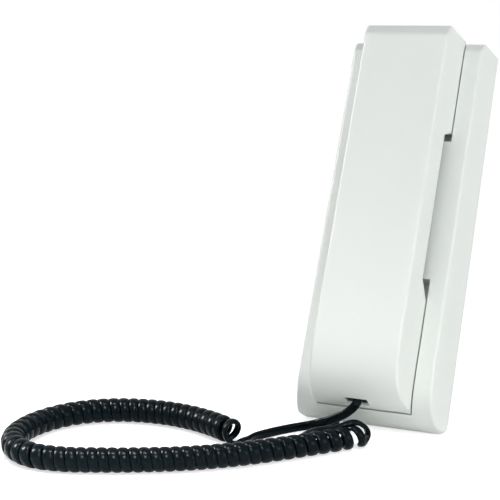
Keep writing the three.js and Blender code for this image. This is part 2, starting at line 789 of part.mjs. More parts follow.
// ------------------------------------------------------------------ call button
function buttonPlaces() {
  const flangeFront = BASE_SHELL + SEAT;
  const flangeBack = flangeFront + BUTTON_FLANGE_THICKNESS;
  const board = wallDepthAt(buttonHeight) + boardFront;
  const switchTop = board - SEAT - BUTTON_SWITCH_HEIGHT;
  return { flangeFront, flangeBack, board, switchTop };
}

function callButton() {
  const { flangeFront, flangeBack, switchTop } = buttonPlaces();
  const width = BUTTON_WIDTH / 2;
  const tall = BUTTON_TALL / 2;
  const ease = 0.8;
  const cap = join(
    block(
      [-width + ease, width - ease],
      [-BUTTON_PROUD, flangeFront],
      [buttonHeight - tall + ease, buttonHeight + tall - ease],
    ),
    block(
      [-width, width],
      [-BUTTON_PROUD + ease, flangeFront + 0.2],
      [buttonHeight - tall, buttonHeight + tall],
    ),
  );
  const flange = block(
    [-width - BUTTON_FLANGE, width + BUTTON_FLANGE],
    [flangeFront, flangeBack],
    [buttonHeight - tall - BUTTON_FLANGE, buttonHeight + tall + BUTTON_FLANGE],
  );
  const stemEnd = switchTop - BUTTON_TRAVEL - SEAT;
  return join(
    cap,
    flange,
    bar(BUTTON_STEM_RADIUS, flangeBack - 0.2, stemEnd, 0, buttonHeight, 12),
  );
}

function buttonSwitch() {
  const { board, switchTop } = buttonPlaces();
  const half = BUTTON_SWITCH_SIZE / 2;
  return join(
    block(
      [-half, half],
      [switchTop + 0.8, board - SEAT],
      [buttonHeight - half, buttonHeight + half],
    ),
    bar(1.2, switchTop, switchTop + 1, 0, buttonHeight, 10),
  );
}

// ------------------------------------------------------------------ handset shells
// The chin is a smooth curve from the face down, under and into the pocket.
function chinCurve() {
  const curve = new THREE.CubicBezierCurve(
    new THREE.Vector2(-HANDSET_PROUD, CHIN_RISE),
    new THREE.Vector2(-HANDSET_PROUD + 0.8, chinHeight + 10),
    new THREE.Vector2(-HANDSET_PROUD + 8.8, chinHeight + 1.8),
    new THREE.Vector2(CHIN_REACH, chinHeight),
  );
  return curve.getPoints(10).map((p) => [p.x, p.y]);
}

function handsetOutline() {
  return [
    ...chinCurve(),
    [blockDepth, chinHeight],
    [blockDepth, mouthTop - 3.5],
    [0, mouthTop],
    [handleBack, mouthTop + MOUTH_TOP_SLOPE],
    [handleBack, earFoot - EAR_FOOT_SLOPE],
    [0, earFoot],
    [blockDepth, earFoot + 2.8],
    [blockDepth, handsetTop],
    [-HANDSET_PROUD + HANDSET_BEVEL_RUN, handsetTop],
    [-HANDSET_PROUD, handsetTop - HANDSET_BEVEL_RISE],
  ];
}

function handsetPlan(thinner, z0, z1) {
  const face = HANDSET_FACE_WIDTH / 2 - thinner;
  const rootHalf = HANDSET_ROOT_WIDTH / 2 - thinner;
  const draft = (rootHalf - face) / HANDSET_PROUD;
  const front = -HANDSET_PROUD;
  const inner = rootHalf - (POCKET_DRAFT * blockDepth) / POCKET_DEPTH;
  return plan(
    [
      [face - EDGE_ROUND, front - 1],
      [face - EDGE_ROUND, front],
      [face - 0.3 * EDGE_ROUND, front + 0.3 * EDGE_ROUND],
      [face + draft * EDGE_ROUND, front + EDGE_ROUND],
      [rootHalf, 0],
      [inner, blockDepth + 0.5],
    ],
    z0,
    z1,
  );
}

const bothWays = (half) => [-half, half];
const handsetAcross = bothWays(BASE_WALL_WIDTH / 2);
const handsetReach = [0, handsetTop + HANDSET_SHELL];
// Where the handle's back wall and the two feet lie, between the side walls.
const backWallZone = [mouthTop - 6, earFoot + 7];

function handsetHull() {
  const outline = handsetOutline();
  const outside = sideProfile(outline, BASE_WALL_WIDTH)
    .intersect(handsetPlan(0, ...handsetReach));
  const inside = sideProfile(inset(outline, () => HANDSET_SHELL), BASE_WALL_WIDTH)
    .intersect(handsetPlan(HANDSET_SHELL, ...handsetReach));
  return cut(outside, inside);
}

function handsetFront(hull) {
  const frontHalf = block(handsetAcross, [-HANDSET_PROUD - 2, rim], handsetReach);
  const backWall = block(
    handsetAcross,
    [handleBack - HANDSET_SHELL - SEAT, rim + 1],
    backWallZone,
  ).intersect(handsetPlan(HANDSET_SHELL, ...backWallZone));
  const socketMouth = block(
    [SOCKET_OFFSET - SOCKET_MOUTH_WIDTH / 2, SOCKET_OFFSET + SOCKET_MOUTH_WIDTH / 2],
    [SOCKET_MOUTH_FRONT, rim + 1],
    [0, chinHeight + 8],
  );
  let shell = cut(hull.intersect(frontHalf), backWall, socketMouth);
  const bossBack = handleBack - 2 * HANDSET_SHELL - SEAT;
  for (const z of handsetScrewHeights)
    shell = join(shell, bar(handsetPostRadius, handsetInside - 0.5, bossBack, 0, z, 14));
  const pilots = handsetScrewHeights.map((z) =>
    bar(screwPilot, handleBack - HANDSET_SCREW_LENGTH - 1.5, bossBack + 1, 0, z, 10),
  );
  return cut(shell, ...pilots);
}

// Sound holes in rings round a middle hole.
function soundHoles(height, rings) {
  const holes = [bar(GRILLE_HOLE_RADIUS, capFloor - 1, blockDepth + 1, 0, height, 6)];
  for (let ring = 1; ring <= rings; ring++)
    for (let i = 0; i < 6 * ring; i++) {
      const turn = (Math.PI * i) / (3 * ring);
      const x = ring * GRILLE_PITCH * Math.sin(turn);
      const z = height + ring * GRILLE_PITCH * Math.cos(turn);
      holes.push(bar(GRILLE_HOLE_RADIUS, capFloor - 1, blockDepth + 1, x, z, 6));
    }
  return holes;
}

function retainer(radius, front, height, sides) {
  return cut(
    bar(radius + SEAT + RETAINER_WALL, front, capFloor + 0.3, 0, height, sides),
    bar(radius + SEAT, front - 1, capFloor, 0, height, sides),
  );
}

function handsetBack(hull) {
  const caps = hull.intersect(
    block(handsetAcross, [rim + SEAT, blockDepth + 1], handsetReach),
  );
  const backWall = hull
    .intersect(
      block(handsetAcross, [handleBack - HANDSET_SHELL - 0.1, rim + 1], backWallZone),
    )
    .intersect(handsetPlan(HANDSET_SHELL + SEAT, ...backWallZone));
  let shell = join(caps, backWall);
  const padFront = handleBack - 2 * HANDSET_SHELL;
  for (const z of handsetScrewHeights)
    shell = join(shell, bar(POST_RADIUS + 1.2, padFront, handleBack - 0.5, 0, z, 16));
  const earRing = capFloor - GASKET_THICKNESS - EAR_RETAINER_HEIGHT;
  const micRing = capFloor - MIC_RETAINER_HEIGHT;
  const jackRib = jackPlaces().back + SEAT;
  const ribHalf = PLUG_WIDTH / 2;
  shell = join(
    shell,
    retainer(EARPIECE_RADIUS, earRing, earpieceHeight, 28),
    retainer(MIC_RADIUS + MIC_BOOT_WALL, micRing, MIC_HEIGHT, 18),
    ...[3, 11].map((rise) =>
      block(
        [SOCKET_OFFSET - ribHalf, SOCKET_OFFSET + ribHalf],
        [jackRib, capFloor + 0.3],
        [jackPlaces().foot + rise, jackPlaces().foot + rise + 1.6],
      ),
    ),
  );
  const sinks = handsetScrewHeights.flatMap((z) => [
    bar(screwSink, handleBack - SCREW_HEAD_THICKNESS - 2 * SEAT, handleBack + 1, 0, z, 16),
    bar(screwPilot, padFront - 1, handleBack, 0, z, 12),
  ]);
  return cut(shell, ...sinks, ...soundHoles(earpieceHeight, 2), ...soundHoles(MIC_HEIGHT, 1));
}

// ------------------------------------------------------------------ inside the handset
function receiverGasket() {
  const back = capFloor - SEAT;
  return cut(
    bar(EARPIECE_RADIUS, back - GASKET_THICKNESS, back, 0, earpieceHeight, 24),
    bar(EARPIECE_RADIUS - 3, back - 5, back + 1, 0, earpieceHeight, 24),
  );
}

function receiverCapsule() {
  const front = capFloor - 2 * SEAT - GASKET_THICKNESS;
  const back = front - EARPIECE_THICKNESS;
  return cut(
    join(
      bar(EARPIECE_RADIUS, front - 4, front, 0, earpieceHeight, 28),
      bar(EARPIECE_RADIUS - 4, back, front - 3.8, 0, earpieceHeight, 24),
    ),
    bar(EARPIECE_RADIUS - 3.5, front - 1, front + 1, 0, earpieceHeight, 24),
  );
}

function microphoneBoot() {
  const back = capFloor - SEAT;
  const front = back - MIC_LENGTH - MIC_BOOT_WALL;
  return cut(
    bar(MIC_RADIUS + MIC_BOOT_WALL, front, back, 0, MIC_HEIGHT, 20),
    bar(MIC_RADIUS + SEAT, front - 1, back - MIC_BOOT_WALL + SEAT, 0, MIC_HEIGHT, 20),
    bar(2, front, back + 1, 0, MIC_HEIGHT, 10),
  );
}

function microphone() {
  const back = capFloor - SEAT - MIC_BOOT_WALL;
  return cut(
    bar(MIC_RADIUS, back - MIC_LENGTH, back, 0, MIC_HEIGHT, 20),
    bar(1.2, back - 1, back + 1, 0, MIC_HEIGHT, 8),
  );
}

function weightPlate() {
  const front = handsetInside + SEAT;
  const [low, high] = handsetScrewHeights;
  const clear = handsetPostRadius + WEIGHT_END_GAP;
  return block(
    bothWays(WEIGHT_WIDTH / 2),
    [front, front + WEIGHT_THICKNESS],
    [low + clear, high - clear],
  );
}

// ------------------------------------------------------------------ socket and plug
function jackPlaces() {
  const plugFront = SOCKET_MOUTH_FRONT + 0.6;
  const plugBack = plugFront + PLUG_DEPTH;
  const cavityBack = plugBack + LATCH_THICKNESS + SEAT;
  return {
    plugFront,
    plugBack,
    cavityFront: plugFront - SEAT,
    cavityBack,
    front: plugFront - SEAT - JACK_WALL,
    back: cavityBack + JACK_WALL,
    foot: PLUG_HEEL + 3.6,
  };
}

function handsetJack() {
  const jack = jackPlaces();
  const half = PLUG_WIDTH / 2 + SEAT;
  const across = [SOCKET_OFFSET - half - JACK_WALL, SOCKET_OFFSET + half + JACK_WALL];
  const plugTop = PLUG_HEEL + PLUG_LENGTH + SEAT;
  return cut(
    block(across, [jack.front, jack.back], [jack.foot, jack.foot + JACK_LENGTH]),
    block(
      [SOCKET_OFFSET - half, SOCKET_OFFSET + half],
      [jack.cavityFront, jack.cavityBack],
      [jack.foot - 1, plugTop],
    ),
  );
}

function handsetPlug() {
  const { plugFront, plugBack } = jackPlaces();
  const half = PLUG_WIDTH / 2;
  const nose = PLUG_HEEL + PLUG_LENGTH;
  const latch = LATCH_WIDTH / 2;
  const body = block(
    [SOCKET_OFFSET - half, SOCKET_OFFSET + half],
    [plugFront, plugBack],
    [PLUG_HEEL, nose],
  );
  const contacts = [];
  for (let i = 0; i < PLUG_CONTACTS; i++) {
    const x = SOCKET_OFFSET + (i - (PLUG_CONTACTS - 1) / 2) * PLUG_CONTACT_PITCH;
    const slot = [x - PLUG_CONTACT_WIDTH / 2, x + PLUG_CONTACT_WIDTH / 2];
    contacts.push(block(slot, [plugFront - 1, plugFront + 0.8], [nose - 4, nose + 1]));
  }
  const tail = new THREE.ExtrudeGeometry(oval(CORD_WIDTH, CORD_THICKNESS, 12), {
    depth: PLUG_TAIL + 1,
    bevelEnabled: false,
  });
  tail.translate(SOCKET_OFFSET, (plugFront + plugBack) / 2, PLUG_HEEL - PLUG_TAIL);
  return join(
    cut(body, ...contacts),
    solid(tail),
    block(
      [SOCKET_OFFSET - latch, SOCKET_OFFSET + latch],
      [plugBack - 0.2, plugBack + LATCH_THICKNESS],
      [PLUG_HEEL + 1.5, nose - 1],
    ),
  );
}

// ------------------------------------------------------------------ cord
// A closed tube through rings, each an oval of width across and thickness outward.
function tube(rings, width, thickness, sides = 5) {
  const vertices = [];
  const faces = [];
  for (const { centre, across, outward } of rings)
    for (let i = 0; i < sides; i++) {
      const turn = (2 * Math.PI * i) / sides;
      const point = centre.clone();
      point.addScaledVector(outward, (Math.cos(turn) * thickness) / 2);
      point.addScaledVector(across, (Math.sin(turn) * width) / 2);
      vertices.push(point.x, point.y, point.z);
    }
  for (let ring = 0; ring + 1 < rings.length; ring++)
    for (let i = 0; i < sides; i++) {
      const a = ring * sides + i;
      const b = ring * sides + ((i + 1) % sides);
      faces.push(a, a + sides, b, b, a + sides, b + sides);
    }
  const last = (rings.length - 1) * sides;
  for (let i = 1; i + 1 < sides; i++) {
    faces.push(0, i, i + 1);
    faces.push(last, last + i + 1, last + i);
  }
  const geometry = new THREE.BufferGeometry()
    .setAttribute("position", new THREE.Float32BufferAttribute(vertices, 3))
    .setIndex(faces);
  return facingOut(geometry);
}

// The same closed geometry with its faces pointing out.
function facingOut(geometry) {
  const place = geometry.attributes.position;
  const corners = geometry.index.array;
  const at = (i) => new THREE.Vector3().fromBufferAttribute(place, corners[i]);
  let volume = 0;
  for (let i = 0; i < corners.length; i += 3)
    volume += at(i).dot(at(i + 1).cross(at(i + 2)));
  if (volume < 0)
    for (let i = 0; i < corners.length; i += 3)
      [corners[i + 1], corners[i + 2]] = [corners[i + 2], corners[i + 1]];
  return geometry;
}

// Where each step of the winding lies along the coil's route, as shares of its length,
// so that the turns follow the list of spacings.
function coilPlaces(steps) {
  const [length] = COIL_SPACING.at(-1);
  const divisions = 2000;
  const turns = [0];
  let stretch = 1;
  for (let i = 0; i < divisions; i++) {
    const at = (length * (i + 0.5)) / divisions;
    while (COIL_SPACING[stretch][0] < at) stretch++;
    const [from, narrow] = COIL_SPACING[stretch - 1];
    const [to, wide] = COIL_SPACING[stretch];
    const spacing = narrow + ((wide - narrow) * (at - from)) / (to - from);
    turns.push(turns[i] + 1 / spacing);
  }
  const places = [];
  let below = 0;
  for (let i = 0; i <= steps; i++) {
    const wanted = (turns[divisions] * i) / steps;
    while (below < divisions - 1 && turns[below + 1] < wanted) below++;
    const part = (wanted - turns[below]) / (turns[below + 1] - turns[below]);
    places.push(Math.min(1, (below + part) / divisions));
  }
  return places;
}

// The curly cord: a helix round the coil's route, lying on the surface. Both ends
// leave its lowest point and run straight on.
function coilRings() {
  const route = new THREE.CatmullRomCurve3(
    COIL_ROUTE.map(([x, y]) => new THREE.Vector3(x, y, 0)),
    false,
    "centripetal",
  );
  route.arcLengthDivisions = 2000;
  const steps = COIL_CURLS * STEPS_PER_CURL + 1;
  const up = new THREE.Vector3(0, 0, 1);
  const rings = [];
  const places = coilPlaces(steps);
  for (let i = 0; i <= steps; i++) {
    const along = places[i];
    const outside = COIL_RADIUS_PHONE + (COIL_RADIUS_FAR - COIL_RADIUS_PHONE) * along;
    const radius = outside - CORD_THICKNESS / 2;
    const forward = route.getTangentAt(along);
    const aside = new THREE.Vector3().crossVectors(up, forward).normalize();
    const turn = -Math.PI / 2 + (2 * Math.PI * (i - 1)) / STEPS_PER_CURL;
    const outward = aside.clone().multiplyScalar(Math.cos(turn));
    outward.addScaledVector(up, Math.sin(turn));
    const centre = route.getPointAt(along).addScaledVector(outward, radius);
    centre.addScaledVector(up, outside);
    rings.push({ centre, outward, across: forward.clone() });
  }
  return [straightEnd(rings, 1), ...rings, straightEnd(rings, -1)];
}

// A ring beyond an end of the winding, straight on from it.
function straightEnd(rings, step) {
  const end = step > 0 ? 0 : rings.length - 1;
  const { centre, outward, across } = rings[end];
  const leave = new THREE.Vector3().crossVectors(outward, across).normalize();
  const away = centre.clone().sub(rings[end + step].centre);
  if (leave.dot(away) < 0) leave.negate();
  return { centre: centre.clone().addScaledVector(leave, COIL_TAIL), outward, across };
}

// The least distance between points of neighbouring turns.
function leastGap(geometry) {
  const place = geometry.attributes.position;
  const at = (i) => new THREE.Vector3().fromBufferAttribute(place, i);
  const rings = place.count / COIL_SIDES;
  const nearest = STEPS_PER_CURL - 2;
  const furthest = STEPS_PER_CURL + 2;
  let least = Infinity;
  for (let a = 0; a < rings; a++)
    for (let b = a + nearest; b <= Math.min(a + furthest, rings - 1); b++)
      for (let i = 0; i < COIL_SIDES; i++)
        for (let j = 0; j < COIL_SIDES; j++)
          least = Math.min(
            least,
            at(a * COIL_SIDES + i).distanceTo(at(b * COIL_SIDES + j)),
          );
  return least;
}

function cordCoil() {
  const geometry = tube(coilRings(), COIL_CORD_WIDTH, CORD_THICKNESS, COIL_SIDES);
  const gap = leastGap(geometry);
  console.log(`cord coil: least gap between turns ${gap.toFixed(2)} mm`);
  return geometry;
}

// An oval outline, high by wide.
function oval(high, wide, sides) {
  const shape = new THREE.Shape();
  shape.absellipse(0, 0, high / 2, wide / 2, 0, 2 * Math.PI, false, 0);
  return new THREE.Shape(shape.getSpacedPoints(sides).slice(0, sides));
}

function lead(points, high, wide, steps) {
  const path = new THREE.CatmullRomCurve3(
    points.map((p) => new THREE.Vector3(...p)),
    false,
    "centripetal",
  );
  return solid(new THREE.ExtrudeGeometry(oval(high, wide, 8), { steps, extrudePath: path }));
}

// The oval core of the sleeve that the base lead goes in by, in the face group: grown
// round the cord, from outside the base's foot to behind its wall.
function bushingCore(grow) {
  const [inner, outer] = BASE_LEAD_ROUTE.slice(-2)
    .reverse()
    .map((p) => new THREE.Vector3(...p));
  const inward = inner.clone().sub(outer).normalize();
  const path = new THREE.LineCurve3(
    outer.clone().addScaledVector(inward, -12),
    outer.clone().addScaledVector(inward, 12),
  );
  const outline = oval(CORD_THICKNESS + 2 * SEAT + 2 * grow, CORD_WIDTH + 2 * SEAT + 2 * grow, 16);
  return solid(
    new THREE.ExtrudeGeometry(outline, { steps: 1, extrudePath: path }),
    tableToFace,
  );
}

// The sleeve, cut to the foot's curve outside, with a collar that follows it inside.
function cordBushing() {
  const collarFront = BASE_SHELL + SEAT;
  const collarBack = collarFront + BUSHING_COLLAR_THICKNESS;
  const sleeve = bushingCore(BUSHING_WALL).intersect(behindSkin(-BUSHING_PROUD));
  const collar = bushingCore(BUSHING_WALL + BUSHING_COLLAR).intersect(behindSkin(collarFront));
  const plateRoom = block(
    bothWays(BASE_WALL_WIDTH),
    [-1, wallDepthAt(plateFoot) - PLATE_THICKNESS - SLIDE],
    [-9, MOUTH_POCKET_FOOT + 9],
  );
  const solids = join(sleeve, collar).intersect(plateRoom);
  return cut(solids, behindSkin(collarBack), bushingCore(0));
}

// ------------------------------------------------------------------ assembly
addPiece(face, "base_cover", baseCover(), shellWhite());
addPiece(wall, "back_plate", backPlate(), innerWhite());
coverPosts().forEach(({ x, z }, i) => {
  const body = screw(-SEAT, COVER_SCREW_LENGTH, x, z);
  addPiece(wall, `cover_screw_${i + 1}`, body, steel());
});
addPiece(wall, "circuit_board", circuitBoard(), boardGreen());
addPiece(wall, "terminal_block", terminalBlock(), boardGreen());
addPiece(face, "sounder", sounder(), darkPlastic());
addPiece(face, "hook_plunger", hookPlunger(), innerWhite());
addPiece(face, "hook_switch", hookSwitch(), darkPlastic());
const hookSpringEnds = [
  hookPlaces().flangeBack + SEAT,
  hookPlaces().plateFront - 2 * SEAT,
];
addPiece(
  face,
  "hook_spring",
  springTube(HOOK_SPRING_RADIUS, SPRING_WIRE, HOOK_SPRING_CURLS, ...hookSpringEnds, HOOK_HEIGHT),
  steel(),
);
addPiece(face, "call_button", callButton(), innerWhite());
addPiece(face, "button_switch", buttonSwitch(), darkPlastic());
const buttonSpringEnds = [
  buttonPlaces().flangeBack + SEAT,
  buttonPlaces().board - 2 * SEAT,
];
addPiece(
  face,
  "button_spring",
  springTube(
    BUTTON_SPRING_RADIUS,
    SPRING_WIRE,
    BUTTON_SPRING_CURLS,
    ...buttonSpringEnds,
    buttonHeight,
  ),
  steel(),
);

const hull = handsetHull();
addPiece(face, "handset_front", handsetFront(hull), shellWhite());
addPiece(face, "handset_back", handsetBack(hull), shellWhite());
handsetScrewHeights.forEach((z, i) => {
  const body = screw(handleBack - SEAT, HANDSET_SCREW_LENGTH, 0, z);
  addPiece(face, `handset_screw_${i + 1}`, body, steel());
});
addPiece(face, "receiver_gasket", receiverGasket(), rubberGrey());
addPiece(face, "receiver_capsule", receiverCapsule(), darkPlastic());
addPiece(face, "microphone_boot", microphoneBoot(), rubberGrey());
addPiece(face, "microphone", microphone(), steel());
addPiece(face, "weight_plate", weightPlate(), steel());
addPiece(face, "handset_jack", handsetJack(), darkPlastic());
addPiece(face, "handset_plug", handsetPlug(), clearPlastic());

addPiece(table, "cord_coil", cordCoil(), cordBlack());
addPiece(
  table,
  "handset_lead",
  lead(HANDSET_LEAD_ROUTE, CORD_WIDTH, CORD_THICKNESS, LEAD_STEPS),
  cordBlack(),
);
addPiece(
  table,
  "base_lead",
  lead(BASE_LEAD_ROUTE, CORD_THICKNESS, CORD_THICKNESS, BASE_LEAD_STEPS),
  cordBlack(),
);
addPiece(face, "cord_bushing", cordBushing(), darkPlastic());

export default root;
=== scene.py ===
import bisect
import math

import bpy
from mathutils import Matrix, Vector
from mathutils.geometry import interpolate_bezier


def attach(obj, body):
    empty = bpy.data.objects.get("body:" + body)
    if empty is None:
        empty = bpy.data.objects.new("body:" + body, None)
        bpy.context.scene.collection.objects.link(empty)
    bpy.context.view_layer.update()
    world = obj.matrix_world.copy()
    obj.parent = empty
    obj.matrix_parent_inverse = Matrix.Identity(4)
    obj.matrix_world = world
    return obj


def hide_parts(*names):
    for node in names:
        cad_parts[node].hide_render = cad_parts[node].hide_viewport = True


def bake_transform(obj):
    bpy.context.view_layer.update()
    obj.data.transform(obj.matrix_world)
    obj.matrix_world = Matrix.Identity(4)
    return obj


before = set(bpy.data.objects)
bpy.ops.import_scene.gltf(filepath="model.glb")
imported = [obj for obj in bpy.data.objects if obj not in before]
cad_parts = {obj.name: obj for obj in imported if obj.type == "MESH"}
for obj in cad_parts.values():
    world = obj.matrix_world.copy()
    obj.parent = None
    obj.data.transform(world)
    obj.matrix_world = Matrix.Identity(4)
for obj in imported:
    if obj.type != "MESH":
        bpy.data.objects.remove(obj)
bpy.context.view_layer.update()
scene = bpy.context.scene


# ------------------------------------------------------------------ camera
# A long lens, to the right of the phone and a little above it, level from side to side.
# Its place, turn and length were fitted to the edges in the photograph.
bpy.ops.object.select_all(action="DESELECT")
bpy.ops.object.camera_add(
    location=(0.21353, -0.67937, 0.12123),
    rotation=(math.radians(79.63), 0, math.radians(24.1)),
)
camera = bpy.context.object
camera.name = "camera"
camera.data.lens = 94.46
camera.data.sensor_width = 36
scene.camera = camera


# ------------------------------------------------------------------ curly cord
# One flat black cord, wound into a coil that lies on the table in a loop. Its turns lie
# against each other, flat side out, and open only at the coil's ends. Its near end runs
# on, unwound, over the nearest turns and into the base's foot.
up = Vector((0, 0, 1))
table_height = -0.095317
table_origin = Vector((0, -0.044042, table_height))
cord_width = 0.0046
cord_thickness = 0.0026
coil_curls = 61
coil_steps = 32
coil_lead_in = 1 / 8
coil_radius_phone = 0.00585
coil_radius_far = 0.0066
line_steps = 3000
# The coil's turns lie closed, wider than the plain cord, but for those at its two ends.
widest_turn = 0.0059
turn_overlap = 0.0002
open_turns = 0.8
closing_turns = 1.5
# The far end's last turns swing open like a gate.
gate_swing = math.radians(-22)
gate_turns = 1.15
coil_route = [
    (6.2, -34.6), (1, -42), (-13.5, -59.5), (-27, -74.8), (-41, -88.5), (-56.5, -100.6),
    (-74.5, -111.3), (-94, -120.6), (-111.5, -127.2), (-127.8, -128.4), (-141.8, -121.9),
    (-150.8, -109), (-153.4, -92.4), (-150.4, -76), (-142.4, -61.7), (-130.3, -51.5),
    (-116, -45.6), (-100, -43.6), (-84, -45.5), (-69.5, -50.3), (-58.5, -55.8),
    (-52.4, -59.1),
]
# How the turns spread out and close up: millimetres along the route, and to the next.
coil_spacing = [
    (0, 8.2), (9, 6.9), (60, 5.6), (85, 4.9), (150, 4.9), (170, 6.1), (246, 6.2),
    (262, 5.5), (290, 4.9), (322, 5.3), (338, 5.3), (344, 7), (350, 10),
]
# The near end's lead leaves the coil at this step of its winding.
lead_start = 8
lead_points = 150
lead_gap = 2
base_lead_route = [
    (6.8, -35, 1.4), (7.2, -32.2, 2), (7.8, -30.2, 3.8), (7.8, -29.4, 5.7),
    (7.2, -29.8, 7.9), (6, -31.4, 10), (3.9, -33.9, 11.9), (1.3, -36.1, 12.2),
    (-1.5, -37.3, 11.3), (-4.2, -39.3, 10.5), (-7.4, -43.2, 10.3), (-12.6, -49, 10.4),
    (-18.2, -51.9, 8), (-22.5, -49, 4.5), (-24.5, -43, 2.2), (-24, -35, 1.3),
    (-22, -26, 1.3), (-19.5, -17, 1.3), (-17, -11, 2.3), (-17, -6.9, 3.8),
    (-17, -4.1, 4.8),
]
# The lead's arch: its middle, and how far along the lead, in metres, it ends and fades.
arch_point = (5.5, -31.5, 7)
arch_end, arch_fade = 0.018, 0.010


def on_table(route):
    """A route in millimetres from the base's lower back edge, as points in metres."""
    return [table_origin + Vector((*point, 0, 0)[:3]) / 1000 for point in route]


def run_through(points, count):
    """Evenly spaced points on a smooth line through a route's points."""
    bits = 60
    points = [2 * points[0] - points[1], *points, 2 * points[-1] - points[-2]]
    line = []
    for before, start, end, after in zip(points, points[1:], points[2:], points[3:]):
        a, b, c = (
            math.sqrt((q - p).length)
            for p, q in ((before, start), (start, end), (end, after))
        )
        leave = ((start - before) / a - (end - before) / (a + b) + (end - start) / b) * b
        arrive = ((end - start) / b - (after - start) / (b + c) + (after - end) / c) * b
        handles = start + leave / 3, end - arrive / 3
        line += interpolate_bezier(start, *handles, end, bits)[:-1]
    line.append(points[-2])
    lengths = [0.0]
    for p, q in zip(line, line[1:]):
        lengths.append(lengths[-1] + (q - p).length)
    spaced = []
    for i in range(count):
        reach = lengths[-1] * i / (count - 1)
        k = min(max(bisect.bisect_left(lengths, reach), 1), len(line) - 1)
        share = (reach - lengths[k - 1]) / (lengths[k] - lengths[k - 1])
        spaced.append(line[k - 1].lerp(line[k], share))
    return spaced


def directions(line):
    """The way a line runs at each of its points."""
    ends = [line[0], *line, line[-1]]
    return [(q - p).normalized() for p, q in zip(ends, ends[2:])]


def line_length(line):
    """The length of a line through its points."""
    return sum((q - p).length for p, q in zip(line, line[1:]))


def eased(share):
    """A share from 0 to 1 that starts and ends slowly."""
    share = min(1, max(0, share))
    return 3 * share**2 - 2 * share**3


def winding_places(spacing, count):
    """Where the winding's steps lie, as shares of its length, from its turns' spacing."""
    divisions = 2000
    turns = [0.0]
    stretch = 1
    for i in range(divisions):
        at = spacing[-1][0] * (i + 0.5) / divisions
        while spacing[stretch][0] < at:
            stretch += 1
        (start, near), (end, far) = spacing[stretch - 1: stretch + 1]
        turns.append(turns[-1] + 1 / (near + (far - near) * (at - start) / (end - start)))
    places = []
    for i in range(count + 1):
        wanted = turns[-1] * i / count
        k = min(max(bisect.bisect_left(turns, wanted), 1), divisions)
        part = (wanted - turns[k - 1]) / (turns[k] - turns[k - 1])
        places.append(min(1, (k - 1 + part) / divisions))
    return places


def flat_cord(name, centres, widthways, widths, squareness):
    """A closed flat cord through its ring centres, each with its own width. Squareness
    goes from 1, an oval section, towards 0, a flat one with tight edges."""
    ways = directions(centres)
    smooth = []
    reach = 3
    for i, way in enumerate(ways):
        near = widthways[max(0, i - reach): i + reach + 1]
        across = sum((w if w.dot(widthways[i]) > 0 else -w for w in near), Vector())
        across = (across - way * across.dot(way)).normalized()
        if smooth and smooth[-1].dot(across) < 0:
            across = -across
        smooth.append(across)
    corners = 16
    vertices, faces = [], []
    for centre, way, across, width in zip(centres, ways, smooth, widths):
        outward = way.cross(across)
        for k in range(corners):
            turn = 2 * math.pi * (k + 0.5) / corners
            wide, high = (
                math.copysign(abs(v) ** squareness, v)
                for v in (math.cos(turn), math.sin(turn))
            )
            vertices.append(
                centre + across * width / 2 * wide + outward * cord_thickness / 2 * high
            )
    for ring in range(len(centres) - 1):
        for k in range(corners):
            a, b = ring * corners + k, ring * corners + (k + 1) % corners
            faces.append((a, b, b + corners, a + corners))
    last = len(vertices) - corners
    faces.append(tuple(reversed(range(corners))))
    faces.append(tuple(range(last, last + corners)))
    mesh = bpy.data.meshes.new(name)
    mesh.from_pydata(vertices, [], faces)
    piece = bpy.data.objects.new(name, mesh)
    scene.collection.objects.link(piece)
    bpy.ops.object.select_all(action="DESELECT")
    piece.select_set(True)
    bpy.context.view_layer.objects.active = piece
    bpy.ops.object.mode_set(mode="EDIT")
    bpy.ops.mesh.select_all(action="SELECT")
    bpy.ops.mesh.normals_make_consistent(inside=False)
    bpy.ops.object.mode_set(mode="OBJECT")
    bpy.ops.object.shade_smooth_by_angle(angle=math.radians(60))
    return piece


def moulded_skin():
    """Slow drift of tone and gloss, and the fine grain of a spark-eroded mould."""
    group = bpy.data.node_groups.new("moulded_skin", "ShaderNodeTree")
    for name in ("Grain", "Drift"):
        socket = group.interface.new_socket(
            name, in_out="INPUT", socket_type="NodeSocketFloat"
        )
        socket.default_value = 1
    for name in ("Tone", "Gloss", "Height"):
        group.interface.new_socket(name, in_out="OUTPUT", socket_type="NodeSocketFloat")
    nodes, links = group.nodes, group.links
    fine_share = 0.4
    inward, outward = nodes.new("NodeGroupInput"), nodes.new("NodeGroupOutput")
    place = nodes.new("ShaderNodeTexCoord")
    slow = nodes.new("ShaderNodeTexNoise")
    slow.inputs["Detail"].default_value = 3
    fine = nodes.new("ShaderNodeTexNoise")
    fine.inputs["Detail"].default_value = 2
    links.new(place.outputs["Object"], slow.inputs["Vector"])
    links.new(place.outputs["Object"], fine.inputs["Vector"])
    links.new(inward.outputs["Drift"], slow.inputs["Scale"])
    links.new(inward.outputs["Grain"], fine.inputs["Scale"])
    links.new(slow.outputs["Fac"], outward.inputs["Tone"])
    mixed = nodes.new("ShaderNodeMath")
    mixed.operation = "MULTIPLY_ADD"
    mixed.inputs[1].default_value = fine_share
    links.new(fine.outputs["Fac"], mixed.inputs[0])
    links.new(slow.outputs["Fac"], mixed.inputs[2])
    links.new(mixed.outputs[0], outward.inputs["Gloss"])
    links.new(fine.outputs["Fac"], outward.inputs["Height"])
    return group


skin_group = moulded_skin()


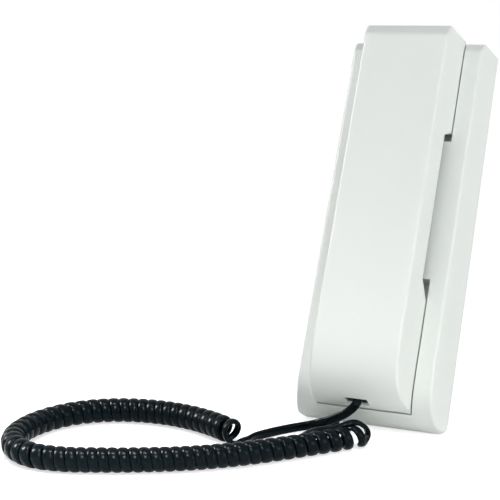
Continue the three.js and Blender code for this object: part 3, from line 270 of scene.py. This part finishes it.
def finish(name, pale, deep, gloss, grain, drift, depth, metallic=0.0):
    """A material whose colour drifts between two tones and whose gloss varies with it."""
    material = bpy.data.materials.new(name)
    material.use_nodes = True
    nodes, links = material.node_tree.nodes, material.node_tree.links
    shader = nodes["Principled BSDF"]
    shader.inputs["Metallic"].default_value = metallic
    skin = nodes.new("ShaderNodeGroup")
    skin.node_tree = skin_group
    skin.inputs["Grain"].default_value = grain
    skin.inputs["Drift"].default_value = drift
    tones = nodes.new("ShaderNodeMix")
    tones.data_type = "RGBA"
    tones.inputs["A"].default_value = (*pale, 1)
    tones.inputs["B"].default_value = (*deep, 1)
    links.new(skin.outputs["Tone"], tones.inputs["Factor"])
    links.new(tones.outputs["Result"], shader.inputs["Base Color"])
    rough = nodes.new("ShaderNodeMapRange")
    rough.inputs["From Min"].default_value = 0.3
    rough.inputs["From Max"].default_value = 1.1
    rough.inputs["To Min"].default_value = gloss[0]
    rough.inputs["To Max"].default_value = gloss[1]
    links.new(skin.outputs["Gloss"], rough.inputs["Value"])
    links.new(rough.outputs["Result"], shader.inputs["Roughness"])
    bump = nodes.new("ShaderNodeBump")
    bump.inputs["Strength"].default_value = 0.35
    bump.inputs["Distance"].default_value = depth
    links.new(skin.outputs["Height"], bump.inputs["Height"])
    links.new(bump.outputs["Normal"], shader.inputs["Normal"])
    return material


coil_line = run_through(on_table(coil_route), line_steps + 1)
coil_ways = directions(coil_line)
coil_length = line_length(coil_line)
coil_count = round((coil_curls + coil_lead_in) * coil_steps)
coil_places = winding_places(coil_spacing, coil_count)
coil_centres, coil_across, coil_widths = [], [], []
for i, place in enumerate(coil_places):
    swing = gate_swing * eased((i - coil_count) / coil_steps + gate_turns)
    forward = Matrix.Rotation(swing, 3, "Z") @ coil_ways[round(place * line_steps)]
    outside = coil_radius_phone + (coil_radius_far - coil_radius_phone) * place
    radius = outside - cord_thickness / 2
    aside = up.cross(forward).normalized()
    turn = -math.pi / 2 + 2 * math.pi * (i / coil_steps - coil_lead_in)
    outward = aside * math.cos(turn) + up * math.sin(turn)
    k = min(int(place * line_steps), line_steps - 1)
    middle = coil_line[k].lerp(coil_line[k + 1], place * line_steps - k)
    middle -= coil_ways[k] * radius * math.sin(swing)
    coil_centres.append(middle + outward * radius + up * outside)
    coil_across.append(forward)
    # A turn is drawn as wide as its neighbours leave room for, less on the inside of a
    # bend, and keeps the plain cord's width where the coil opens at its ends.
    before, after = max(i - coil_steps, 0), min(i + coil_steps, coil_count)
    share = coil_steps / (after - before)
    room = (coil_places[after] - coil_places[before]) * coil_length * share
    way_before, way_after = (
        coil_ways[round(coil_places[step] * line_steps)] for step in (before, after)
    )
    room -= (way_after - way_before).dot(outward) * radius * share
    closed = eased((min(i, coil_count - i) / coil_steps - open_turns) / closing_turns)
    widest = cord_width + (widest_turn - cord_width) * closed
    coil_widths.append(min(widest, room + turn_overlap))

# The lead rises beside the nearest turn, arches over the coil and comes down behind it.
# On the arch its flat side faces away from the arch's middle, and further on it faces up.
base_lead_line = run_through(
    [*coil_centres[lead_start + 6: lead_start - 1: -3], *on_table(base_lead_route)],
    lead_points,
)
lead_joint = coil_centres[lead_start]
past = min(range(lead_points), key=lambda i: (base_lead_line[i] - lead_joint).length)
base_lead_line = base_lead_line[past + lead_gap:][::-1]
base_lead_across = []
arch_middle = on_table([arch_point])[0]
for i, way in enumerate(directions(base_lead_line)):
    past_arch = eased((line_length(base_lead_line[i:]) - arch_end) / arch_fade)
    outward = (base_lead_line[i] - arch_middle).normalized().lerp(up, past_arch)
    base_lead_across.append(way.cross(outward).normalized())
cord_path = base_lead_line + coil_centres[lead_start:]
cord = flat_cord(
    "curly_cord",
    cord_path,
    base_lead_across + coil_across[lead_start:],
    [cord_width] * len(base_lead_line) + coil_widths[lead_start:],
    squareness=0.9,
)
cord_black = finish(
    "cord_black", (0.0006, 0.0046, 0.0068), (0.0004, 0.003, 0.0046), (0.2, 0.3),
    grain=1400, drift=90, depth=0.000004,
)
cord_shader = cord_black.node_tree.nodes["Principled BSDF"]
cord_shader.inputs["Specular IOR Level"].default_value = 0.06
cord.data.materials.append(cord_black)
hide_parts("cord_coil", "base_lead")
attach(cord, "base")


# ------------------------------------------------------------------ handset's lead
# The coil's far end runs on, unwound: it turns on its edge, follows the table and rises
# into the plug in the handset's chin.
handset_lead_route = [
    (-49.1, -55.4, 2.4), (-48, -53.2, 2.4), (-46.3, -49.4, 2.4), (-42.8, -42.1, 2.4),
    (-39, -35.4, 2.4), (-35, -29.4, 2.4), (-31.6, -25, 2.4), (-28.1, -22.1, 2.7),
    (-24.5, -21.2, 3.7), (-21.2, -21.2, 4.9), (-17, -22, 6.6), (-12.3, -22, 8.9),
    (-7.9, -21.9, 11.3), (-5.2, -21.9, 13.3), (-2.7, -22.2, 15.7), (-1.3, -22.3, 17.6),
    (-0.7, -22, 19.1), (-0.7, -21.4, 20.6),
]
handset_lead_points = 110
# The shares of its length over which it turns on its edge, and then to suit the plug.
edge_by = 0.22
plug_from, plug_over = 0.9, 0.1
plug_across = Vector((-1, 0, 0))
handset_lead_line = run_through(
    [coil_centres[-1], *on_table(handset_lead_route)], handset_lead_points
)
handset_lead_across = []
for i, way in enumerate(directions(handset_lead_line)):
    share = i / (handset_lead_points - 1)
    on_edge = (up - way * way.z).normalized()
    across = coil_across[-1].lerp(on_edge, eased(share / edge_by))
    across = across.lerp(plug_across, eased((share - plug_from) / plug_over))
    handset_lead_across.append(across)
handset_lead = flat_cord(
    "handset_lead_flat",
    handset_lead_line,
    handset_lead_across,
    [cord_width] * handset_lead_points,
    squareness=0.6,
)
handset_lead.data.materials.append(cord_black)
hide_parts("handset_lead")
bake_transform(handset_lead)


# ------------------------------------------------------------------ base cover
# The white housing on the wall: one moulding, drafted towards its face, with a curved
# foot, a bevelled top and two pockets that take the handset's ends.
wall_lean = math.radians(-25.8)
face_place = Vector((0, -0.066640, -0.084393))
base_height = 0.210
base_depth = 0.0251
base_face_half = 0.0364
base_wall_half = 0.0408
base_shell = 0.0022
wall_slope = math.radians(1)
plate_gap = 0.003
bevel_rise, bevel_run = 0.0057, 0.0037
foot_radius = 0.0214
foot_corner = 0.0045
edge_radius = 0.0014
edge_depth = 0.020
pocket_depth = 0.010
pocket_draft = 0.15
pocket_half = 0.02695
ear_pocket_foot = 0.152
mouth_pocket_foot = 0.0056
mouth_pocket_top = 0.076
button_hole = (-0.0067, -0.002, 0.1223), (0.0067, 0.004, 0.1317)
plunger_hole_radius, plunger_hole_length = 0.0044, 0.006
plunger_hole_middle = (0, 0.011, 0.056)
sound_slots = 5
slot_middle, slot_pitch = 0.098, 0.0036
slot_half_width, slot_half_height = 0.007, 0.0008
shell_white = finish(
    "shell_white", (0.80, 0.835, 0.80), (0.765, 0.80, 0.775), (0.46, 0.6),
    grain=3200, drift=16, depth=0.00002,
)


def alone(piece):
    """Makes a piece the only one selected, and the active one."""
    bpy.ops.object.select_all(action="DESELECT")
    piece.select_set(True)
    bpy.context.view_layer.objects.active = piece


def block_between(name, low, high):
    """A block between two corners."""
    low, high = Vector(low), Vector(high)
    bpy.ops.object.select_all(action="DESELECT")
    bpy.ops.mesh.primitive_cube_add(size=1, location=(low + high) / 2)
    block = bpy.context.object
    block.name = name
    block.scale = high - low
    bpy.ops.object.transform_apply(location=True, rotation=True, scale=True)
    return block


def slice_off(piece, point, outward):
    """Cuts off what lies outside a plane and closes the cut."""
    alone(piece)
    bpy.ops.object.mode_set(mode="EDIT")
    bpy.ops.mesh.select_all(action="SELECT")
    bpy.ops.mesh.bisect(plane_co=point, plane_no=outward, use_fill=True, clear_outer=True)
    bpy.ops.object.mode_set(mode="OBJECT")


def round_edges(piece, wanted, radius, segments=4, sharper_than=25):
    """Rounds the sharp edges whose two ends pass a test."""
    alone(piece)
    mesh = piece.data
    faces_at = {}
    for face in mesh.polygons:
        for key in face.edge_keys:
            faces_at.setdefault(key, []).append(face.normal)
    for part in (*mesh.vertices, *mesh.edges, *mesh.polygons):
        part.select = False
    limit = math.cos(math.radians(sharper_than))
    for edge in mesh.edges:
        normals = faces_at.get(edge.key, [])
        a, b = (mesh.vertices[i].co for i in edge.vertices)
        if len(normals) == 2 and normals[0].dot(normals[1]) < limit and wanted(a, b):
            edge.select = True
    bpy.context.tool_settings.mesh_select_mode = (False, True, False)
    bpy.ops.object.mode_set(mode="EDIT")
    bpy.ops.mesh.bevel(offset=radius, segments=segments, profile=0.5, affect="EDGES")
    bpy.ops.object.mode_set(mode="OBJECT")


def carve(piece, *tools, how="DIFFERENCE"):
    """Cuts, joins or meets a piece with tools, which are used up."""
    for tool in tools:
        alone(piece)
        change = piece.modifiers.new("carve", "BOOLEAN")
        change.operation = how
        change.solver = "EXACT"
        change.object = tool
        bpy.ops.object.modifier_apply(modifier=change.name)
        bpy.data.objects.remove(tool)
    return piece


def seat(piece, material, body, node):
    """Smooths a finished moulding, leans it back into its place, gives it its material, hides
    the node that it stands in for and hangs it on its body.
    """
    alone(piece)
    bpy.ops.object.shade_smooth_by_angle(angle=math.radians(32))
    weighted = piece.modifiers.new("even_shading", "WEIGHTED_NORMAL")
    weighted.keep_sharp = True
    weighted.weight = 60
    bpy.ops.object.modifier_apply(modifier=weighted.name)
    piece.rotation_euler = (wall_lean, 0, 0)
    piece.location = face_place
    bpy.ops.object.transform_apply(location=True, rotation=True, scale=True)
    piece.data.materials.clear()
    piece.data.materials.append(material)
    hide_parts(node)
    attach(piece, body)


def base_block(name, thinner, wall_gap):
    """The base's outside, or its hollow when made thinner and open to the wall. It is cut
    to size from a block that is larger than the base."""
    back = base_depth + wall_gap
    draft = (base_wall_half - base_face_half) / base_depth
    block = block_between(
        name, (-0.06, thinner, thinner), (0.06, back + 0.001, base_height - thinner)
    )
    for side in (-1, 1):
        slice_off(block, (side * (base_face_half - thinner), 0, 0), (side, -draft, 0))
    slice_off(block, (0, back, 0), (0, math.cos(wall_slope), math.sin(wall_slope)))
    bevel_way = Vector((0, -bevel_rise, bevel_run)).normalized()
    slice_off(
        block, Vector((0, 0, base_height - bevel_rise)) - bevel_way * thinner, bevel_way
    )
    reach = 1e-5
    round_edges(
        block,
        lambda a, b: max(a.y, b.y) < thinner + reach and max(a.z, b.z) < thinner + reach,
        foot_radius - thinner,
        segments=20,
    )
    # The two lower corners, seen from the front.
    corners = block_between(
        "corners",
        (thinner - base_wall_half, -0.01, thinner),
        (base_wall_half - thinner, back + 0.01, base_height + 0.01),
    )
    round_edges(
        corners,
        lambda a, b: max(a.z, b.z) < thinner + reach and abs(a.x - b.x) < reach,
        foot_corner - thinner,
        segments=10,
    )
    return carve(block, corners, how="INTERSECT")


def pocket_block(grow, foot, top):
    """A pocket's space, drafted towards its floor."""
    floor = pocket_depth + grow
    block = block_between("pocket", (-0.04, -0.004, foot - grow), (0.04, floor, top + grow))
    for side in (-1, 1):
        slice_off(block, (side * (pocket_half + grow), 0, 0), (side, pocket_draft, 0))
    return block


cover = base_block("base_cover_moulding", 0, 0)
round_edges(cover, lambda a, b: (a.y + b.y) / 2 < edge_depth, edge_radius)
hollow = base_block("hollow", base_shell, plate_gap)
carve(
    hollow,
    pocket_block(base_shell, ear_pocket_foot, base_height + 0.01),
    pocket_block(base_shell, mouth_pocket_foot, mouth_pocket_top),
)
carve(
    cover,
    hollow,
    pocket_block(0, ear_pocket_foot, base_height + 0.01),
    pocket_block(0, mouth_pocket_foot, mouth_pocket_top),
    block_between("button_hole", *button_hole),
)
for i in range(sound_slots):
    height = slot_middle + (i - sound_slots // 2) * slot_pitch
    carve(
        cover,
        block_between(
            "slot",
            (-slot_half_width, -0.002, height - slot_half_height),
            (slot_half_width, 0.004, height + slot_half_height),
        ),
    )
bpy.ops.object.select_all(action="DESELECT")
bpy.ops.mesh.primitive_cylinder_add(
    vertices=40, radius=plunger_hole_radius, depth=plunger_hole_length,
    location=plunger_hole_middle, rotation=(math.pi / 2, 0, 0),
)
carve(cover, bpy.context.object)
seat(cover, shell_white, "base", "base_cover")


# ------------------------------------------------------------------ handset
# A slim hollow handset in two mouldings. Its front wraps over the sides and curves
# under at the chin, where the cord's plug goes in.
proud = 0.0228
sunk = 0.0097
handset_face_half = 0.0232
handset_root_half = 0.02635
handset_inner_half = 0.0249
handset_draft = (handset_root_half - handset_face_half) / proud
handset_back_draft = (handset_root_half - handset_inner_half) / sunk
handset_shell = 0.002
stock_width = 0.06
# The side outline's depths and heights in millimetres, from the chin's front round by the
# foot, and the two handles that curve the chin, in metres.
handset_outline = [
    (-22.8, 38), (6.4, 6.2), (9.7, 6.2), (9.7, 62.5), (0, 66), (-7, 74.2),
    (-7, 152.8), (0, 156.2), (9.7, 159), (9.7, 210.4), (-19.1, 210.4), (-22.8, 203.9),
]
chin_front_handle, chin_foot_handle = (-0.022, 0.0162, 0), (-0.014, 0.008, 0)
socket_opening = (-0.0068, -0.006, 0), (0.0052, 0.002, 0.0142)
front_half = (-0.04, -0.03, 0), (0.04, 0.0003, 0.22)
back_space = (-0.04, -0.0093, 0.060), (0.04, 0.0013, 0.1632)
# What tells the edges that are rounded from the rest.
side_reach = 0.0004
top_height, bevel_height, bevel_depth = 0.2099, 0.2035, -0.0190
handle_back, handle_back_half = -0.007, 0.0235


def handset_hull(name):
    """The handset's closed outside: its side outline run across, then drafted."""
    bpy.ops.object.select_all(action="DESELECT")
    bpy.ops.curve.primitive_bezier_curve_add()
    outline = bpy.context.object
    outline.name = name
    outline.data.dimensions = "2D"
    outline.data.fill_mode = "NONE"
    outline.data.resolution_u = 24
    spline = outline.data.splines[0]
    spline.bezier_points.add(len(handset_outline) - len(spline.bezier_points))
    spline.use_cyclic_u = True
    for point, (depth, height) in zip(spline.bezier_points, handset_outline):
        point.handle_left_type = point.handle_right_type = "VECTOR"
        point.co = (depth / 1000, height / 1000, 0)
    chin, throat = spline.bezier_points[:2]
    chin.handle_right_type = throat.handle_left_type = "FREE"
    chin.handle_right = chin_front_handle
    throat.handle_left = chin_foot_handle
    bpy.ops.object.convert(target="MESH")
    hull = bpy.context.object
    bpy.ops.object.mode_set(mode="EDIT")
    bpy.ops.mesh.select_all(action="SELECT")
    bpy.ops.mesh.edge_face_add()
    bpy.ops.mesh.extrude_region_move(TRANSFORM_OT_translate={"value": (0, 0, stock_width)})
    bpy.ops.mesh.select_all(action="SELECT")
    bpy.ops.mesh.normals_make_consistent(inside=False)
    bpy.ops.object.mode_set(mode="OBJECT")
    # The outline was drawn in X and Y: its X is the phone's depth and its Y the height.
    hull.matrix_world = Matrix(
        ((0, 0, 1, -stock_width / 2), (1, 0, 0, 0), (0, 1, 0, 0), (0, 0, 0, 1))
    )
    bpy.ops.object.transform_apply(location=True, rotation=True, scale=True)
    for side in (-1, 1):
        for draft in (-handset_draft, handset_back_draft):
            slice_off(hull, (side * handset_root_half, 0, 0), (side, draft, 0))
    return hull


hull = handset_hull("handset_front_moulding")
alone(hull)
wall = hull.modifiers.new("wall", "SOLIDIFY")
wall.thickness = handset_shell
wall.offset = -1
wall.use_even_offset = True
bpy.ops.object.modifier_apply(modifier=wall.name)


def on_outside(a, b):
    """True for an edge on the handset's skin and in front of the base's face: one along
    its sides, at its top and the bevel there, or along the back of its handle."""
    middle = (a + b) / 2
    side = handset_face_half + handset_draft * (middle.y + proud)
    on_side = abs(abs(middle.x) - side) < side_reach
    on_top = middle.z > top_height or (middle.z > bevel_height and middle.y < bevel_depth)
    on_back = abs(middle.y - handle_back) < 1e-4 and abs(middle.x) > handle_back_half
    return middle.y < -0.0002 and (on_side or on_top or on_back)


round_edges(hull, on_outside, edge_radius)
carve(hull, block_between("front_half", *front_half), how="INTERSECT")
back_room = block_between("back_room", *back_space)
for side in (-1, 1):
    inside = (side * (handset_root_half - handset_shell), 0, 0)
    slice_off(back_room, inside, (side, -handset_draft, 0))
carve(hull, back_room, block_between("socket", *socket_opening))
seat(hull, shell_white, "handset", "handset_front")


def dress(name, material, rounding=0.0003):
    """Gives a piece that keeps its frame shape a finish and softly rounded edges."""
    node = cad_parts[name]
    for place in node.material_slots:
        place.material = material
    if rounding:
        soft = node.modifiers.new("soft_edges", "BEVEL")
        soft.width = rounding
        soft.segments = 2
        soft.limit_method = "ANGLE"
        soft.angle_limit = math.radians(40)


dress("handset_back", shell_white, 0.0004)


# ------------------------------------------------------------------ back plate and screws
# The plain plate on the wall, in a duller white than the housing, and the zinc plated
# screws that hold the plate and the handset's two halves.
inner_white = finish(
    "inner_white", (0.72, 0.75, 0.72), (0.68, 0.71, 0.69), (0.42, 0.56),
    grain=3000, drift=25, depth=0.00002,
)
steel = finish(
    "steel", (0.5, 0.51, 0.52), (0.4, 0.41, 0.43), (0.25, 0.4),
    grain=2200, drift=140, depth=0.00001, metallic=1.0,
)
dress("back_plate", inner_white)
for name in (
    "cover_screw_1", "cover_screw_2", "cover_screw_3", "cover_screw_4",
    "handset_screw_1", "handset_screw_2",
):
    dress(name, steel, 0.0002)


# ------------------------------------------------------------------ board and terminals
# The speech circuit, lacquered green over its copper tracks, and the screw terminals for
# the line, in a plain green.
board_pale, board_deep = (0.022, 0.13, 0.055), (0.010, 0.070, 0.032)
track_pitch = 420
track_edge = 0.42


def with_tracks(material, pale, deep):
    """Copper tracks that show as a pattern of two tones through the lacquer."""
    nodes, links = material.node_tree.nodes, material.node_tree.links
    place = nodes.new("ShaderNodeTexCoord")
    cells = nodes.new("ShaderNodeTexVoronoi")
    cells.distance = "CHEBYCHEV"
    cells.feature = "F1"
    cells.inputs["Scale"].default_value = track_pitch
    cells.inputs["Randomness"].default_value = 0.65
    edges = nodes.new("ShaderNodeMath")
    edges.operation = "GREATER_THAN"
    edges.inputs[1].default_value = track_edge
    colours = nodes.new("ShaderNodeMix")
    colours.data_type = "RGBA"
    colours.inputs["A"].default_value = (*pale, 1)
    colours.inputs["B"].default_value = (*deep, 1)
    links.new(place.outputs["Object"], cells.inputs["Vector"])
    links.new(cells.outputs["Distance"], edges.inputs[0])
    links.new(edges.outputs[0], colours.inputs["Factor"])
    links.new(colours.outputs["Result"], nodes["Principled BSDF"].inputs["Base Color"])


board_green = finish(
    "board_green", board_pale, board_deep, (0.3, 0.45), grain=1600, drift=120, depth=0.00002
)
with_tracks(board_green, board_pale, board_deep)
terminal_green = finish(
    "terminal_green", (0.03, 0.16, 0.07), (0.02, 0.12, 0.05), (0.4, 0.55),
    grain=2400, drift=90, depth=0.00002,
)
dress("circuit_board", board_green, 0.0001)
dress("terminal_block", terminal_green, 0.0002)


# ------------------------------------------------------------------ sounder, switches, springs
# Dark mouldings and bright springs inside the base, behind its bridge and its mouth
# pocket, and the dark bushing that the cord goes in by.
dark_plastic = finish(
    "dark_plastic", (0.022, 0.025, 0.028), (0.014, 0.016, 0.018), (0.4, 0.55),
    grain=2800, drift=60, depth=0.00002,
)
dress("sounder", dark_plastic, 0.0005)
for name in ("hook_switch", "button_switch", "cord_bushing"):
    dress(name, dark_plastic)
for name in ("hook_spring", "button_spring"):
    dress(name, steel, 0)


# ------------------------------------------------------------------ hook plunger and button
# The two white keys in the base's face: the handset pushes the plunger, and a finger the
# button between the pockets.
dress("hook_plunger", inner_white, 0.0004)
dress("call_button", inner_white, 0.0005)


# ------------------------------------------------------------------ inside the handset
# The ear capsule and the microphone in their soft grey seats, and the steel weight that
# gives the handset its heft.
rubber_grey = finish(
    "rubber_grey", (0.10, 0.11, 0.115), (0.08, 0.085, 0.09), (0.7, 0.85),
    grain=2400, drift=80, depth=0.00003,
)
dress("receiver_capsule", dark_plastic, 0.0004)
dress("receiver_gasket", rubber_grey, 0.0002)
dress("microphone", steel)
dress("microphone_boot", rubber_grey, 0.0002)
dress("weight_plate", steel)


# ------------------------------------------------------------------ socket and plug
# The socket's dark mouth lines the opening in the chin, with the body behind it hollow
# for the plug, which is smoky clear. Each block has its low and its high corner.
jack_body = (-0.0071, -0.0069, 0.0125), (0.0055, 0.0022, 0.0275)
jack_mouth = (-0.00675, -0.00595, 0.0064), (0.00515, 0.00028, 0.0126)
mouth_rim, mouth_rim_way = (0, -0.0059, 0.0092), (0, -0.2, -1)
jack_body_foot = 0.0123
plug_room = (-0.0059, -0.0057, 0.0125), (0.0043, 0.001, 0.0227)
mouth_room = (-0.0059, -0.0056, 0.005), (0.0043, -0.0001, 0.0128)
latch_room = (-0.0026, -0.001, 0.005), (0.0010, 0.0016, 0.0210)
jack = block_between("handset_jack_moulding", *jack_body)
mouth = block_between("mouth", *jack_mouth)
slice_off(mouth, mouth_rim, mouth_rim_way)
carve(jack, mouth, how="UNION")
carve(
    jack,
    block_between("plug_room", *plug_room),
    block_between("mouth_room", *mouth_room),
    block_between("latch_room", *latch_room),
)
round_edges(jack, lambda a, b: min(a.z, b.z) > jack_body_foot, 0.0003, segments=2)
seat(jack, dark_plastic, "handset", "handset_jack")
clear_plastic = finish(
    "clear_plastic", (0.16, 0.175, 0.18), (0.11, 0.12, 0.125), (0.08, 0.16),
    grain=900, drift=120, depth=0.00001,
)
plug_shader = clear_plastic.node_tree.nodes["Principled BSDF"]
plug_shader.inputs["Transmission Weight"].default_value = 0.9
dress("handset_plug", clear_plastic, 0.0002)


# ------------------------------------------------------------------ table and light
# A white table that runs on past the frame, under a pale sky. Three lamps light the phone
# and the table, and two narrow ones only glint in what shines.
table_size = 8
table_white = (0.93, 0.93, 0.93, 1)
table_lift = 0.6
sky_light, sky_seen = 0.5, 1.0
phone_middle = (-0.02, -0.06, -0.02)


def seen_directly(nodes, links):
    """1 for rays from the camera and from what mirrors or is clear, 0 for other rays."""
    rays = nodes.new("ShaderNodeLightPath")
    seen = rays.outputs["Is Camera Ray"]
    for ray in ("Is Glossy Ray", "Is Transmission Ray"):
        either = nodes.new("ShaderNodeMath")
        either.operation = "MAXIMUM"
        links.new(seen, either.inputs[0])
        links.new(rays.outputs[ray], either.inputs[1])
        seen = either.outputs[0]
    return seen


bpy.ops.object.select_all(action="DESELECT")
bpy.ops.mesh.primitive_plane_add(size=table_size, location=(0, 0, table_height))
table = bpy.context.object
table.name = "table"
paper = bpy.data.materials.new("white_table")
paper.use_nodes = True
nodes, links = paper.node_tree.nodes, paper.node_tree.links
nodes.clear()
out = nodes.new("ShaderNodeOutputMaterial")
diffuse = nodes.new("ShaderNodeBsdfDiffuse")
diffuse.inputs["Color"].default_value = table_white
glow = nodes.new("ShaderNodeEmission")
lift = nodes.new("ShaderNodeMath")
lift.operation = "MULTIPLY"
lift.inputs[1].default_value = table_lift
both = nodes.new("ShaderNodeAddShader")
links.new(seen_directly(nodes, links), lift.inputs[0])
links.new(lift.outputs[0], glow.inputs["Strength"])
links.new(diffuse.outputs[0], both.inputs[0])
links.new(glow.outputs[0], both.inputs[1])
links.new(both.outputs[0], out.inputs["Surface"])
table.data.materials.append(paper)

world = bpy.data.worlds.new("studio")
scene.world = world
world.use_nodes = True
nodes, links = world.node_tree.nodes, world.node_tree.links
sky = nodes["Background"]
sky.inputs["Color"].default_value = (1, 1, 1, 1)
level = nodes.new("ShaderNodeMapRange")
level.inputs["To Min"].default_value = sky_light
level.inputs["To Max"].default_value = sky_seen
links.new(seen_directly(nodes, links), level.inputs["Value"])
links.new(level.outputs["Result"], sky.inputs["Strength"])

# A lamp's place, what it faces, its size, its power in watts and its spread in degrees.
for name, place, target, size, power, spread in (
    ("lamp_right", (1.1, -0.35, 0.35), phone_middle, (0.5, 0.5), 5.0, 180),
    ("lamp_low", (-0.4, -1.15, 0.0), phone_middle, (1.6, 0.5), 3.0, 180),
    ("lamp_table", (-0.08, -0.42, 1.0), (-0.08, -0.42, 0.0), (0.3, 0.3), 2.1, 32),
    ("glint_left", (-1.0, -0.35, 0.68), phone_middle, (0.12, 0.4), 34, 180),
    ("glint_front", (0.3, -1.1, 0.95), phone_middle, (0.1, 0.3), 22, 180),
):
    bpy.ops.object.select_all(action="DESELECT")
    aim = (Vector(target) - Vector(place)).to_track_quat("-Z", "Y")
    bpy.ops.object.light_add(type="AREA", location=place, rotation=aim.to_euler())
    lamp = bpy.context.object
    lamp.name = name
    lamp.data.shape = "RECTANGLE"
    lamp.data.size, lamp.data.size_y = size
    lamp.data.energy = power
    lamp.data.spread = math.radians(spread)
    lamp.visible_diffuse = not name.startswith("glint")

scene.view_settings.view_transform = "Standard"
